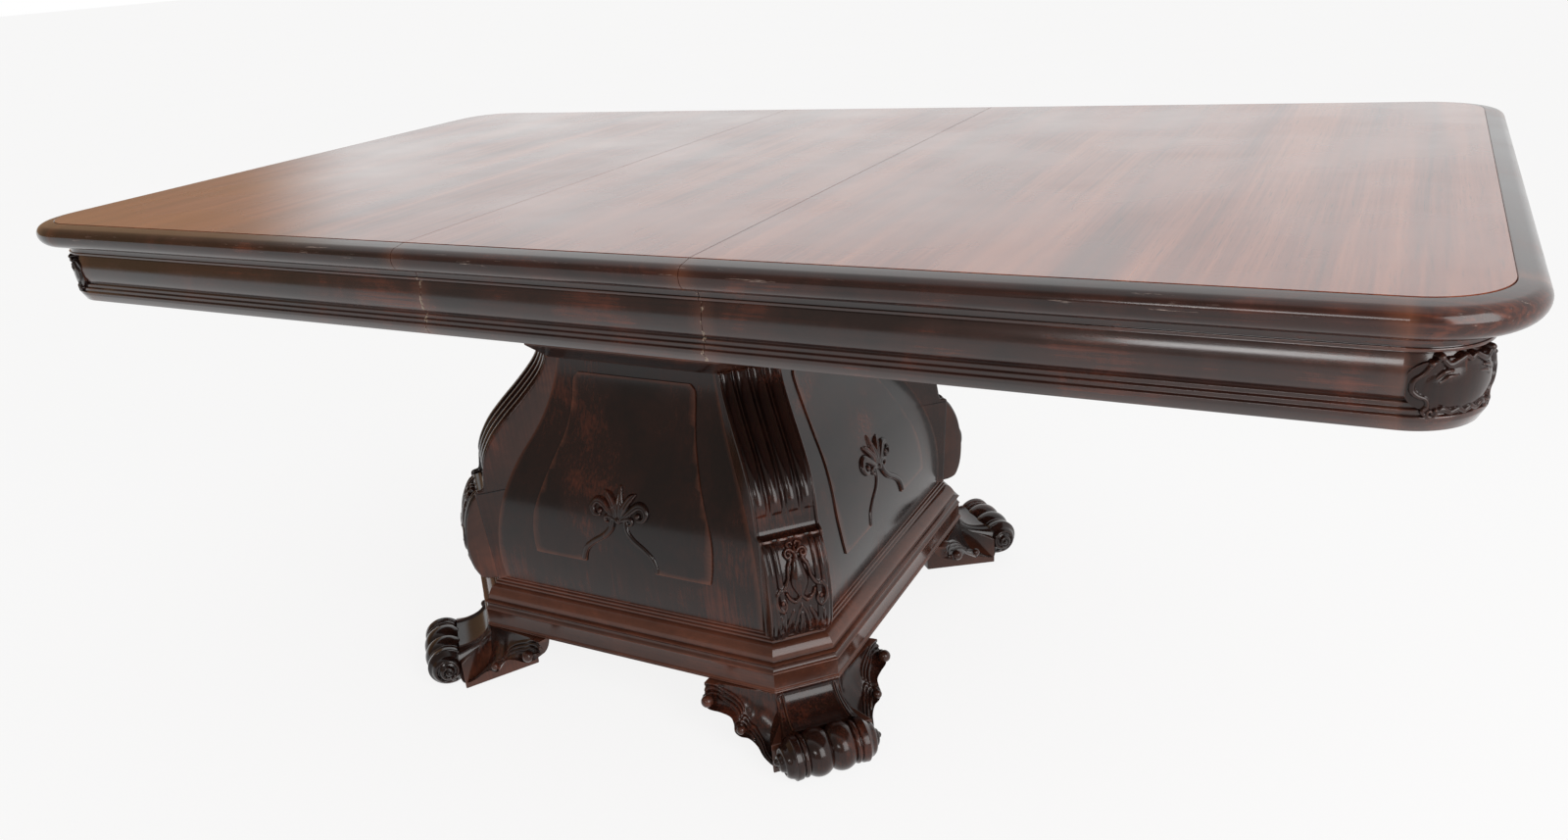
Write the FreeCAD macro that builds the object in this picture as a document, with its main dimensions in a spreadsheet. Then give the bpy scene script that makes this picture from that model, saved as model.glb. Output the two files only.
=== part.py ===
import FreeCAD, Part
import math
import os
import Sketcher

os.makedirs("parts", exist_ok=True)
doc = FreeCAD.newDocument("pedestal_table")
sheet = doc.addObject("Spreadsheet::Sheet", "sizes")

# Named sizes in millimetres. The frame lies on the floor under the middle of the top: X runs along the
# top, Y from front to back and Z up.
NAMED = (
    ("height", 760, "floor to the face of the top"),
    ("top_length", 1914, "length of the top with its leaf in"),
    ("top_width", 1054, "width of the top"),
    ("leaf_width", 396, "room for the leaf between the halves"),
    ("joint_gap", 0.4, "room at each joint of the leaf"),
    ("corner_radius", 100, "rounding of the top's corners"),
    ("top_thick", 25, "thickness of the boards of the top"),
    ("edge_width", 27, "width of the moulded edge"),
    ("edge_drop", 33, "height of the moulded edge"),
    ("edge_lip", 4, "lip of the edge under the board"),
    ("groove", 1.2, "shallow groove between board and edge"),
    ("bead_width", 8, "flat bead beside the groove"),
    ("quirk", 1.5, "step below the flat bead"),
    ("nose_run", 11, "run of the upper rounding of the edge"),
    ("nose_top", 3, "fall from the face to the rounding"),
    ("nose_deep", 14, "fall to the widest line of the edge"),
    ("nose_under", 11, "run of the lower rounding of the edge"),
    ("apron_thick", 25, "thickness of the apron"),
    ("apron_drop", 118, "fall from the face to the foot of the apron"),
    ("cove_run", 4.5, "run of the hollow under the edge"),
    ("cove_fall", 12, "fall of the hollow under the edge"),
    ("fillet", 2, "projection of the fillets on the apron"),
    ("fillet_fall", 3, "height of the fillets on the apron"),
    ("frieze_in", 7, "set-back of the head of the frieze"),
    ("frieze_foot", 12, "set-back of the foot of the frieze"),
    ("frieze_fall", 42, "height of the frieze"),
    ("frieze_radius", 47, "rounding of the frieze"),
    ("base_step", 2.5, "projection of each step of the apron's base"),
    ("base_fall", 5.5, "height of each step of the apron's base"),
    ("base_slope", 1.5, "fall across each step of the apron's base"),
    ("base_under", 5, "return of the apron's foot"),
    ("pin_radius", 5, "radius of the joint pins"),
    ("pin_in", 30, "length of a joint pin in its half"),
    ("pin_out", 18, "length of a joint pin in the leaf"),
    ("pin_place", 330, "place of the outer joint pins from the middle"),
    ("pin_room", 0.3, "room around pins, screws and bolts"),
    ("slide_room", 0.5, "room between sliding faces"),
    ("slide_high", 60, "height of the slides"),
    ("slide_thick", 40, "thickness of a moving slide"),
    ("rail_thick", 42, "thickness of a fixed slide"),
    ("rail_place", 150, "inner face of a fixed slide from the middle"),
    ("rail_half", 480, "half the length of a fixed slide"),
    ("rail_clear", 3, "room above the fixed and below the moving slides"),
    ("tongue_out", 10, "projection of a slide's tongue"),
    ("tongue_high", 16, "height of a slide's tongue"),
    ("stop_wall", 12, "wood left at the closed end of a groove"),
    ("travel", 250, "outward travel of each half"),
    ("slide_past", 150, "reach of a moving slide past the middle"),
    ("slide_end_room", 30, "room between a moving slide and the end apron"),
    ("screw_radius", 2.5, "radius of the slide screws"),
    ("screw_bite", 15, "depth of the slide screws in the board"),
    ("head_radius", 5, "radius of the screw heads"),
    ("head_deep", 4, "depth of the screw heads in the slides"),
    ("screw_margin", 60, "place of the outer screws from the slide's ends"),
    ("glue_block", 22, "side of the glue blocks"),
    ("glue_long", 70, "length of the glue blocks"),
    ("pedestal_shift", 113, "pedestal's axis from the middle of the top"),
    ("plinth_out", 328, "widest line of the plinth from the axis"),
    ("plinth_leg", 70, "leg of the plinth's cut corners"),
    ("plinth_low", 88, "underside of the plinth"),
    ("plinth_top", 165, "top of the plinth"),
    ("plinth_deep", 66, "depth of the plinth from its widest line"),
    ("plinth_fascia", 6, "set-back of the plinth's fascia"),
    ("plinth_bead", 8, "half the height of the plinth's bead"),
    ("bead_low", 30, "foot of the plinth's bead above its underside"),
    ("plinth_cove", 34, "set-back of the plinth's top"),
    ("cove_ledge", 12, "ledge at the foot of the plinth's hollow"),
    ("board_thick", 24, "thickness of the base board"),
    ("bell_bulge", 296, "widest line of the body from the axis"),
    ("bell_waist", 247, "body from the axis where its curve turns"),
    ("bell_neck", 199, "narrowest line of the body from the axis"),
    ("neck_over", 39, "narrowest line of the body above its top"),
    ("panel_thick", 24, "thickness of the body's panels"),
    ("panel_leg", 65, "panel edge from the corner of the body's square"),
    ("field_raise", 5.5, "projection of the raised fields"),
    ("field_seat", 0.3, "glue line under fields and carvings"),
    ("field_margin", 22, "head of the raised fields below the body's top"),
    ("field_half", 150, "half the width of a raised field"),
    ("palm_half", 46, "half the width of a palmette"),
    ("palm_high", 52, "height of a palmette"),
    ("palm_raise", 6, "projection of a palmette"),
    ("scroll_head", 254, "head of the corner scrolls from the axis"),
    ("scroll_knee", 372, "knee of the corner scrolls from the axis"),
    ("post_face", 392, "face of the corner post from the axis at its ledge"),
    ("post_lean", 11, "lean of the corner post's face below its ledge"),
    ("post_back_low", 300, "back of the corner post at its foot"),
    ("post_back_top", 196, "back of the corner post at its head"),
    ("block_half", 44, "half the width of a carved block"),
    ("block_out", 27, "projection of a carved block"),
    ("block_foot_out", 2, "projection of a carved block at its foot"),
    ("cap_low", 214, "foot of the capital from the axis"),
    ("cap_out", 236, "widest line of the capital from the axis"),
    ("cap_leg", 72, "leg of the capital's cut corners"),
    ("cap_flare", 24, "height of the capital's flare"),
    ("cap_band", 12, "height of the capital's band"),
    ("head_high", 124, "height of the bearers between capital and slides"),
    ("bearer_wide", 56, "width of the bearers under the slides"),
    ("bearer_long", 400, "length of the bearers under the slides"),
    ("bearer_place", 140, "place of the bearers from the axis"),
    ("head_thick", 24, "thickness of the boards between the bearers"),
    ("foot_back", 290, "back of a foot from the axis"),
    ("foot_back_half", 79, "half the width of a foot's back"),
    ("wing_tip", 335, "tip of a foot's wings from the axis"),
    ("wing_half", 132, "half the width over a foot's wings"),
    ("wing_bow", 300, "hollow of a foot's sides"),
    ("toe_half", 66, "half the width of a foot's toe"),
    ("core_half", 60, "half the width of a foot's core"),
    ("foot_neck", 404, "front of a foot under the plinth"),
    ("roll_place", 484, "axis of a foot's roll from the pedestal's axis"),
    ("roll_radius", 34, "radius of a foot's roll"),
    ("roll_seat", 0.5, "room between a roll and its foot"),
    ("roll_half", 70, "half the length of a roll"),
    ("roll_button", 4, "projection of a roll's end buttons"),
    ("button_radius", 13, "radius of a roll's end buttons"),
    ("roll_ring", 29, "width of a roll's end rings"),
    ("roll_dip", 6, "depth of the grooves in a roll"),
    ("ring_round", 4, "rounding of a roll's end rings"),
    ("swell_radius", 40, "rounding of a roll's swells"),
    ("foot_sweep", 70, "hollow of a foot's front"),
    ("seat_rise", 20, "lowest line of the roll's seat above the floor"),
    ("seat_rest", 9, "highest line of the roll's seat below the roll's top"),
    ("wing_low", 60, "underside of a foot's wings"),
    ("wing_reach", 131, "run of the wings' lower edge"),
    ("bolt_radius", 5, "radius of the foot bolts"),
    ("bolt_bite", 50, "depth of the foot bolts in a foot"),
    ("bolt_head_radius", 9, "radius of the bolt heads"),
    ("bolt_head_high", 6, "height of the bolt heads"),
    ("bolt_place", 320, "place of the foot bolts from the axis"),
    ("ornament_deep", 7, "projection of the apron's corner carvings"),
    ("ornament_high", 60, "height of the apron's corner carvings"),
    ("ornament_fall", 47, "fall from the face to a corner carving"),
    ("overrun", 20, "overrun of every cut"),
)

# Lines on the body, as shares of its height above the plinth.
BODY_SHARES = (
    ("bulge_up", 0.115, "height of the body's widest line"),
    ("waist_up", 0.62, "height where the body's curve turns"),
    ("knee_up", 0.51, "height of the scroll's knee"),
    ("knee_foot", 0.464, "height of the foot of the scroll's knee"),
    ("ledge_up", 0.435, "height of the ledge under the scroll"),
    ("block_top", 0.4236, "top of a carved block"),
    ("field_low", 0.1787, "foot of the raised fields"),
    ("palm_low", 0.3775, "foot of a palmette"),
)

QUARTER = 90
HALF_TURN = 180
CARVING_ARC = 72


class Size:
    """A size that carries its value and its formula in the cells of the sheet."""

    def __init__(self, value, text):
        self.value = value
        self.text = text

    def __add__(self, other):
        return Size(self.value + other.value, f"({self.text} + {other.text})")

    def __sub__(self, other):
        return Size(self.value - other.value, f"({self.text} - {other.text})")

    def __neg__(self):
        return Size(-self.value, f"(-1 * {self.text})")

    def __mul__(self, other):
        if isinstance(other, Size):
            return Size(self.value * other.value, f"({self.text} * {other.text})")
        return Size(self.value * other, f"({self.text} * {other})")

    def __truediv__(self, other):
        if isinstance(other, Size):
            return Size(self.value / other.value, f"({self.text} / {other.text})")
        return Size(self.value / other, f"({self.text} / {other})")

    def root(self):
        return Size(math.sqrt(self.value), f"sqrt({self.text})")


class Cells:
    """The sheet's cells by name."""


size = Cells()
ZERO = Size(0, "0")
rows = []


def cell(name, content, note):
    """Writes one named cell with its note."""
    rows.append(name)
    row = len(rows)
    sheet.set(f"A{row}", note)
    sheet.set(f"B{row}", content)
    sheet.setAlias(f"B{row}", name)


def derive(name, formula, note):
    """Writes one derived cell and makes it known by its name."""
    cell(name, "=" + formula.text.replace("sizes.", ""), note)
    setattr(size, name, Size(formula.value, f"sizes.{name}"))


def chord_radius(run, rise):
    """Radius of an arc that starts upright and moves sideways by run over a height of rise."""
    return (run * run + rise * rise) / (run * 2)


for name, value, note in NAMED:
    cell(name, str(value), note)
    setattr(size, name, Size(value, f"sizes.{name}"))

derive("half_length", size.top_length / 2, "middle to the end of the top")
derive("half_width", size.top_width / 2, "middle to the front of the top")
derive("joint", size.leaf_width / 2, "middle to a joint of the leaf")
derive("half_joint", size.joint + size.joint_gap, "middle to the edge of a half")
derive("leaf_edge", size.joint - size.joint_gap, "middle to the edge of the leaf")
derive("top_under", size.height - size.top_thick, "underside of the boards of the top")
derive("apron_inset", size.edge_width + size.edge_lip, "set-back of the apron")
derive("apron_back", size.apron_inset + size.apron_thick, "set-back of the apron's inner face")
derive("nose_upper", chord_radius(size.nose_run, size.nose_deep - size.nose_top), "upper rounding")
derive("nose_lower", chord_radius(size.nose_under, size.edge_drop - size.nose_deep), "lower rounding")
derive("cove_radius", chord_radius(size.cove_run, size.cove_fall), "hollow under the edge")
derive("center_x", -size.pedestal_shift, "pedestal's axis in the frame")
derive("rail_low", size.top_under - size.slide_high - size.rail_clear, "underside of the fixed slides")
derive("slide_low", size.top_under - size.slide_high, "underside of the moving slides")
derive("cap_top", size.rail_low - size.head_high, "top of the capital")
derive("bell_top", size.cap_top - size.cap_band - size.cap_flare, "top of the body")
derive("body_high", size.bell_top - size.plinth_top, "height of the body")
for name, share, note in BODY_SHARES:
    derive(name, size.plinth_top + size.body_high * share, note)
derive("neck_up", size.bell_top + size.neck_over, "height of the body's narrowest line")
derive("field_high", size.bell_top - size.field_margin - size.field_low, "height of the raised fields")
derive("bulge_radius", chord_radius(size.bell_bulge - size.bell_waist, size.waist_up - size.bulge_up),
       "rounding of the body's bulge")
derive("neck_radius", chord_radius(size.bell_waist - size.bell_neck, size.neck_up - size.waist_up),
       "hollow of the body's neck")
derive("bulge_center", size.bell_bulge - size.bulge_radius, "centre of the bulge from the axis")
derive("neck_center", size.bell_neck + size.neck_radius, "centre of the neck's hollow from the axis")
derive("post_half", size.panel_leg / Size(math.sqrt(2), "sqrt(2)"), "half the width of a corner post")
derive("plinth_cant", (size.plinth_out * 2 - size.plinth_leg) / Size(math.sqrt(2), "sqrt(2)"),
       "cut corner of the plinth from the axis")
derive("post_foot", size.post_face - size.post_lean, "face of the corner post at its foot")
derive("plinth_high", size.plinth_top - size.plinth_low, "height of the plinth")
MITRE = Size(math.tan(math.radians(QUARTER / 4)), f"tan({QUARTER / 4} deg)")

nodes = {}


def node(name, thing):
    """Gives a finished piece its name."""
    thing.Label = name
    nodes[name] = thing


def group(name, things):
    """Gathers separate solids of one kind under one name."""
    bundle = doc.addObject("Part::Compound", name)
    bundle.Links = things
    node(name, bundle)


def place(thing, x=ZERO, y=ZERO, z=ZERO, turn=0):
    """Turns a piece about the upright axis and binds its place to the sheet."""
    upright = FreeCAD.Rotation(FreeCAD.Vector(0, 0, 1), turn)
    thing.Placement = FreeCAD.Placement(FreeCAD.Vector(x.value, y.value, z.value), upright)
    for axis, value in (("x", x), ("y", y), ("z", z)):
        thing.setExpression(f"Placement.Base.{axis}", value.text)


def body(name):
    """Adds an empty body."""
    return doc.addObject("PartDesign::Body", name)


def sketch(owner, role, corners, offset=ZERO):
    """Adds a closed outline to a body, with every corner and radius bound to the sheet.

    A corner is (across, up) at the end of a straight side, or (across, up, radius, side) at the end of an
    arc whose centre lies on the left (1) or on the right (-1) of the way round.
    """
    drawing = owner.newObject("Sketcher::SketchObject", owner.Name + "_outline")
    plane = [item for item in owner.Origin.OriginFeatures if item.Role == role][0]
    drawing.AttachmentSupport = [(plane, "")]
    drawing.MapMode = "FlatFace"
    drawing.setExpression("AttachmentOffset.Base.z", offset.text)
    sides = []
    before = corners[-1]
    for corner in corners:
        start = FreeCAD.Vector(before[0].value, before[1].value, 0)
        end = FreeCAD.Vector(corner[0].value, corner[1].value, 0)
        if len(corner) == 2:
            sides.append((drawing.addGeometry(Part.LineSegment(start, end)), 1, 2))
        else:
            radius = corner[2].value
            chord = end - start
            height = math.sqrt(radius * radius - chord.Length * chord.Length / 4)
            across = FreeCAD.Vector(-chord.y, chord.x, 0).normalize()
            center = (start + end) * 0.5 + across * (height * corner[3])
            first, last = (start, end) if corner[3] > 0 else (end, start)
            angles = [math.atan2(p.y - center.y, p.x - center.x) for p in (first, last)]
            circle = Part.Circle(center, FreeCAD.Vector(0, 0, 1), radius)
            arc = drawing.addGeometry(Part.ArcOfCircle(circle, angles[0], angles[1]))
            sides.append((arc, 1, 2) if corner[3] > 0 else (arc, 2, 1))
        before = corner
    for index, (side, _, tail) in enumerate(sides):
        after = sides[(index + 1) % len(sides)]
        drawing.addConstraint(Sketcher.Constraint("Coincident", side, tail, after[0], after[1]))
    for (side, _, tail), corner in zip(sides, corners):
        for kind, value in (("DistanceX", corner[0]), ("DistanceY", corner[1])):
            at = drawing.addConstraint(Sketcher.Constraint(kind, -1, 1, side, tail, value.value))
            drawing.setExpression(f"Constraints[{at}]", value.text)
        if corner[2:]:
            at = drawing.addConstraint(Sketcher.Constraint("Radius", side, corner[2].value))
            drawing.setExpression(f"Constraints[{at}]", corner[2].text)
    return drawing


def feature(owner, kind, drawing, **lengths):
    """Adds a pad or a pocket of an outline to a body."""
    step = owner.newObject(f"PartDesign::{kind}", f"{owner.Name}_{kind.lower()}")
    step.Profile = drawing
    for name, value in lengths.items():
        step.setExpression(name, value.text)
    return step


def pad(owner, role, corners, offset, length):
    """Raises an outline from its plane along the plane's normal."""
    return feature(owner, "Pad", sketch(owner, role, corners, offset), Length=length)


def pocket(owner, role, corners, offset, length):
    """Cuts an outline from its plane against the plane's normal."""
    return feature(owner, "Pocket", sketch(owner, role, corners, offset), Length=length)


def spin(owner, corners, angle):
    """Turns an outline of the XZ plane about the upright axis."""
    drawing = sketch(owner, "XZ_Plane", corners)
    step = feature(owner, "Revolution", drawing)
    step.ReferenceAxis = (drawing, ["V_Axis"])
    step.Angle = angle
    return step


def box(name, x, y, z, length, width, height, turn=0):
    """Adds a block with its low corner at a place."""
    block = doc.addObject("Part::Box", name)
    for prop, value in (("Length", length), ("Width", width), ("Height", height)):
        block.setExpression(prop, value.text)
    place(block, x, y, z, turn)
    return block


def rod(name, radius, length, x, y, z):
    """Adds an upright round rod from a place."""
    bar = doc.addObject("Part::Cylinder", name)
    bar.setExpression("Radius", radius.text)
    bar.setExpression("Height", length.text)
    place(bar, x, y, z)
    return bar


def join(name, base, *others):
    """Joins pieces into one solid."""
    whole = doc.addObject("Part::MultiFuse", name)
    whole.Shapes = [base] + list(others)
    return whole


def cut(name, base, tools):
    """Cuts a list of tools out of a piece."""
    tool = tools[0]
    if len(tools) > 1:
        tool = doc.addObject("Part::Compound", name + "_tools")
        tool.Links = tools
    result = doc.addObject("Part::Cut", name)
    result.Base = base
    result.Tool = tool
    return result


# Profiles of the moulded edge and of the apron, as set-back from the edge of the top and fall from its face.
bead_in = size.edge_width - size.bead_width
EDGE = (
    (size.edge_width, size.top_thick),
    (size.edge_width, size.groove),
    (size.edge_width - size.groove, ZERO),
    (bead_in, ZERO),
    (bead_in, size.quirk),
    (size.nose_run, size.nose_top),
    (ZERO, size.nose_deep, size.nose_upper, -1),
    (size.nose_under, size.edge_drop, size.nose_lower, -1),
    (size.apron_inset, size.edge_drop),
    (size.apron_inset, size.top_thick),
)

cove_foot = size.edge_drop + size.cove_fall
cove_in = size.apron_inset + size.cove_run
frieze_head = cove_foot + size.fillet_fall + size.base_slope
frieze_foot = frieze_head + size.frieze_fall
frieze_deep = size.apron_inset + size.frieze_foot
apron_profile = [
    (size.apron_inset, size.top_thick),
    (size.apron_inset, size.edge_drop),
    (cove_in, cove_foot, size.cove_radius, 1),
    (cove_in - size.fillet, cove_foot),
    (cove_in - size.fillet, cove_foot + size.fillet_fall),
    (size.apron_inset + size.frieze_in, frieze_head),
    (frieze_deep, frieze_foot, size.frieze_radius, -1),
]
for count in (1, 2, 3):
    step_out = frieze_deep - size.base_step * count
    step_head = frieze_foot + size.base_fall * (count - 1) + size.base_slope
    apron_profile.append((step_out, step_head))
    apron_profile.append((step_out, step_head + size.base_fall - size.base_slope))
apron_profile.append((step_out + size.base_under, size.apron_drop))
apron_profile.append((size.apron_back, size.apron_drop))
apron_profile.append((size.apron_back, size.top_thick))
APRON = tuple(apron_profile)


def laid(profile, origin, sign):
    """Lays a profile at a distance from the origin; the sign says on which side its outer face looks."""
    corners = []
    for corner in profile:
        across = (origin - corner[0]) * sign
        up = size.height - corner[1]
        if len(corner) == 2:
            corners.append((across, up))
        else:
            corners.append((across, up, corner[2], corner[3] * sign))
    return corners


def straight(name, profile, side, start, length):
    """A straight length of moulding along X, on the front (-1) or on the back (1)."""
    piece = body(name)
    pad(piece, "YZ_Plane", laid(profile, size.half_width, side), start, length)
    return piece


def across_end(name, profile):
    """A straight length of moulding along Y at the left end of the top."""
    piece = body(name)
    run = size.half_width - size.corner_radius
    pad(piece, "XZ_Plane", laid(profile, size.half_length, -1), -run, run * 2)
    return piece


def corner(name, profile, angle):
    """A quarter turn of moulding about the upright axis."""
    piece = body(name)
    spin(piece, laid(profile, size.corner_radius, 1), angle)
    return piece


# Places of the glue blocks, as shares of the length that they stiffen.
GLUE_SHARES = (0.25, 0.75)


def half(prefix, sign, rail_end):
    """All pieces of one sliding half of the top, built at the left and turned for the right."""
    turn = 0 if sign > 0 else HALF_TURN
    corner_x = size.half_length - size.corner_radius
    corner_y = size.half_width - size.corner_radius
    run = corner_x - size.half_joint
    round_in = size.corner_radius - size.edge_width
    left = -(size.half_length - size.edge_width)
    front = size.half_width - size.edge_width
    pin_up = size.height - size.top_thick / 2
    pin_lines = (-size.pin_place, ZERO, size.pin_place)
    board = body(prefix + "_board")
    pad(board, "XY_Plane", (
        (-size.half_joint, -front),
        (-size.half_joint, front),
        (left + round_in, front),
        (left, front - round_in, round_in, 1),
        (left, round_in - front),
        (left + round_in, -front, round_in, 1),
    ), size.top_under, size.top_thick)
    pins = []
    holes = []
    for index, along in enumerate(pin_lines):
        start = -(size.half_joint + size.pin_in)
        pin = rod(f"{prefix}_pin_{index}", size.pin_radius, size.pin_in + size.pin_out, start, along, pin_up)
        hole = rod(f"{prefix}_pin_hole_{index}", size.pin_radius + size.pin_room, size.pin_in + size.overrun,
                   start, along, pin_up)
        for bar in (pin, hole):
            bar.Placement.Rotation = FreeCAD.Rotation(FreeCAD.Vector(0, 1, 0), QUARTER)
        if sign < 0:
            pin.Placement.Rotation = FreeCAD.Rotation(FreeCAD.Vector(0, 1, 0), -QUARTER)
            pin.setExpression("Placement.Base.x", (-start).text)
        pins.append(pin)
        holes.append(hole)
    slide_start = -(size.half_length - size.apron_back - size.slide_end_room)
    slide_long = size.slide_past - slide_start
    tongue_start = size.stop_wall + size.travel - rail_end
    tongue_low = size.slide_low + (size.slide_high - size.tongue_high) / 2
    lanes = (-(size.rail_place + size.rail_thick + size.slide_room + size.slide_thick),
             size.rail_place - size.slide_room - size.slide_thick)
    slides = []
    screws = []
    for lane, low in enumerate(lanes):
        name = f"{prefix}_slide_{lane}"
        stick = box(name + "_stick", slide_start, low, size.slide_low, slide_long, size.slide_thick,
                    size.slide_high)
        tongue = box(name + "_tongue", tongue_start, low + size.slide_thick, tongue_low,
                     size.slide_past - tongue_start, size.tongue_out + size.slide_room, size.tongue_high)
        bores = []
        first = slide_start + size.screw_margin
        last = -(size.half_joint + size.screw_margin)
        for index in range(3):
            along = first + (last - first) * (index / 2)
            middle = low + size.slide_thick / 2
            shank_low = size.slide_low + size.head_deep
            shank_long = size.slide_high - size.head_deep + size.screw_bite
            shank = rod(f"{name}_screw_{index}", size.screw_radius, shank_long, along, middle, shank_low)
            head = rod(f"{name}_head_{index}", size.head_radius, size.head_deep, along, middle,
                       size.slide_low)
            screw = join(f"{name}_whole_screw_{index}", shank, head)
            place(screw, turn=turn)
            screws.append(screw)
            bores.append(rod(f"{name}_bore_{index}", size.screw_radius + size.pin_room, shank_long,
                             along, middle, shank_low))
            bores.append(rod(f"{name}_sink_{index}", size.head_radius + size.pin_room,
                             size.head_deep + size.overrun, along, middle, size.slide_low - size.overrun))
        slide = cut(name, join(name + "_whole", stick, tongue), bores)
        place(slide, turn=turn)
        slides.append(slide)
        holes.extend(bores)
    top = cut(prefix + "_top", board, holes)
    place(top, turn=turn)
    node(prefix + "_top", top)
    group(prefix + "_slides", slides)
    group(prefix + "_slide_screws", screws)
    group(prefix + "_joint_pins", pins)
    for label, profile in (("edge", EDGE), ("apron", APRON)):
        lengths = []
        bends = []
        for side in (-1, 1):
            piece = straight(f"{prefix}_{label}_side_{side + 1}", profile, side, -corner_x, run)
            place(piece, turn=turn)
            lengths.append(piece)
            bend = corner(f"{prefix}_{label}_bend_{side + 1}", profile, QUARTER)
            bend_turn = HALF_TURN if side < 0 else QUARTER
            place(bend, -corner_x * sign, corner_y * (side * sign), ZERO, bend_turn + turn)
            bends.append(bend)
        end = across_end(f"{prefix}_{label}_end", profile)
        place(end, turn=turn)
        group(f"{prefix}_{label}_sides", lengths)
        node(f"{prefix}_{label}_end", end)
        group(f"{prefix}_{label}_corners", bends)
    blocks = []
    inner_y = size.half_width - size.apron_back
    inner_x = size.half_length - size.apron_back
    for index, share in enumerate(GLUE_SHARES):
        along = -(size.half_joint + run * share)
        for side, low in ((0, -inner_y), (1, inner_y - size.glue_block)):
            blocks.append(box(f"{prefix}_block_{index}_{side}", along * sign, low * sign,
                              size.top_under - size.glue_block, size.glue_long, size.glue_block,
                              size.glue_block, turn))
        across = (corner_y * 2 - size.glue_long) * share - corner_y
        blocks.append(box(f"{prefix}_block_{index}_end", -inner_x * sign, across * sign,
                          size.top_under - size.glue_block, size.glue_block, size.glue_long,
                          size.glue_block, turn))
    group(prefix + "_glue_blocks", blocks)
    carvings = []
    frieze_line = size.corner_radius - size.apron_inset - size.fillet
    carving_low = size.height - size.ornament_fall - size.ornament_high
    seat = frieze_line + size.field_seat
    for side in (-1, 1):
        carving = body(f"{prefix}_carving_{side + 1}")
        spin(carving, (
            (seat, carving_low),
            (seat + size.ornament_deep / 2, carving_low),
            (seat + size.ornament_deep, carving_low + size.ornament_high / 2),
            (seat + size.ornament_deep / 2, carving_low + size.ornament_high),
            (seat, carving_low + size.ornament_high),
        ), CARVING_ARC)
        bend_turn = (HALF_TURN if side < 0 else QUARTER) + (QUARTER - CARVING_ARC) / 2
        place(carving, -corner_x * sign, corner_y * (side * sign), ZERO, bend_turn + turn)
        carvings.append(carving)
    group(prefix + "_corner_carvings", carvings)


half("left", 1, size.rail_half + size.pedestal_shift)
half("right", -1, size.rail_half - size.pedestal_shift)

# Loose leaf between the halves, with slots open below for the joint pins.
leaf_board = body("leaf_board")
leaf_front = size.half_width - size.edge_width
pad(leaf_board, "XY_Plane", (
    (-size.leaf_edge, -leaf_front),
    (size.leaf_edge, -leaf_front),
    (size.leaf_edge, leaf_front),
    (-size.leaf_edge, leaf_front),
), size.top_under, size.top_thick)
slots = []
slot_half = size.pin_radius + size.slide_room
slot_high = size.top_thick / 2 + slot_half
slot_deep = size.pin_out + size.slide_room
for index, along in enumerate((-size.pin_place, ZERO, size.pin_place)):
    for side, start in ((0, -size.leaf_edge - size.overrun), (1, size.leaf_edge - slot_deep)):
        slots.append(box(f"leaf_slot_{index}_{side}", start, along - slot_half, size.top_under - size.overrun,
                         slot_deep + size.overrun, slot_half * 2, slot_high + size.overrun))
node("leaf_top", cut("leaf_top", leaf_board, slots))
for label, profile in (("edges", EDGE), ("aprons", APRON)):
    group(f"leaf_{label}", [straight(f"leaf_{label}_{side + 1}", profile, side, -size.leaf_edge,
                                     size.leaf_edge * 2) for side in (-1, 1)])

# Fixed slides and the bearers that carry them on the capital.
rails = []
rail_start = size.center_x - size.rail_half
groove_deep = size.tongue_out + size.slide_room
groove_high = size.tongue_high + size.slide_room * 2
groove_low = size.slide_low + (size.slide_high - groove_high) / 2
for side in (-1, 1):
    low = size.rail_place if side > 0 else -(size.rail_place + size.rail_thick)
    stick = box(f"rail_{side + 1}", rail_start, low, size.rail_low, size.rail_half * 2, size.rail_thick,
                size.slide_high)
    left_groove = box(f"rail_groove_left_{side + 1}", rail_start + size.stop_wall, low - size.overrun,
                      groove_low, size.rail_half * 2 + size.overrun, groove_deep + size.overrun, groove_high)
    right_groove = box(f"rail_groove_right_{side + 1}", rail_start - size.overrun - size.stop_wall,
                       low + size.rail_thick - groove_deep, groove_low, size.rail_half * 2 + size.overrun,
                       groove_deep + size.overrun, groove_high)
    rails.append(cut(f"fixed_slide_{side + 1}", stick, [left_groove, right_groove]))
group("fixed_slides", rails)
bearers = []
for side in (-1, 1):
    bearers.append(box(f"bearer_{side + 1}", size.center_x + size.bearer_place * side - size.bearer_wide / 2,
                       -size.bearer_long / 2, size.cap_top, size.bearer_wide, size.bearer_long,
                       size.rail_low - size.cap_top))
group("slide_bearers", bearers)
head_boards = []
for side in (-1, 1):
    head_y = (size.bearer_long - size.head_thick) / 2 * side - size.head_thick / 2
    head_half = size.bearer_place - size.bearer_wide / 2
    head_boards.append(box(f"head_board_{side + 1}", size.center_x - head_half, head_y, size.cap_top,
                           head_half * 2, size.head_thick, size.rail_low - size.cap_top))
group("head_boards", head_boards)


def bell(offset):
    """Corners of the body's curve from its foot to its head, moved out by an offset."""
    lean = (size.bell_waist - size.bulge_center) / size.bulge_radius
    rise = (size.waist_up - size.bulge_up) / size.bulge_radius
    big = size.bulge_radius + offset
    small = size.neck_radius - offset
    foot_up = size.plinth_top - size.bulge_up
    head_up = size.neck_up - size.bell_top
    foot = size.bulge_center + (big * big - foot_up * foot_up).root()
    head = size.neck_center - (small * small - head_up * head_up).root()
    return (
        (-foot, size.plinth_top),
        (-(size.bell_waist + offset * lean), size.waist_up + offset * rise, big, -1),
        (-head, size.bell_top, small, 1),
    )


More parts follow.
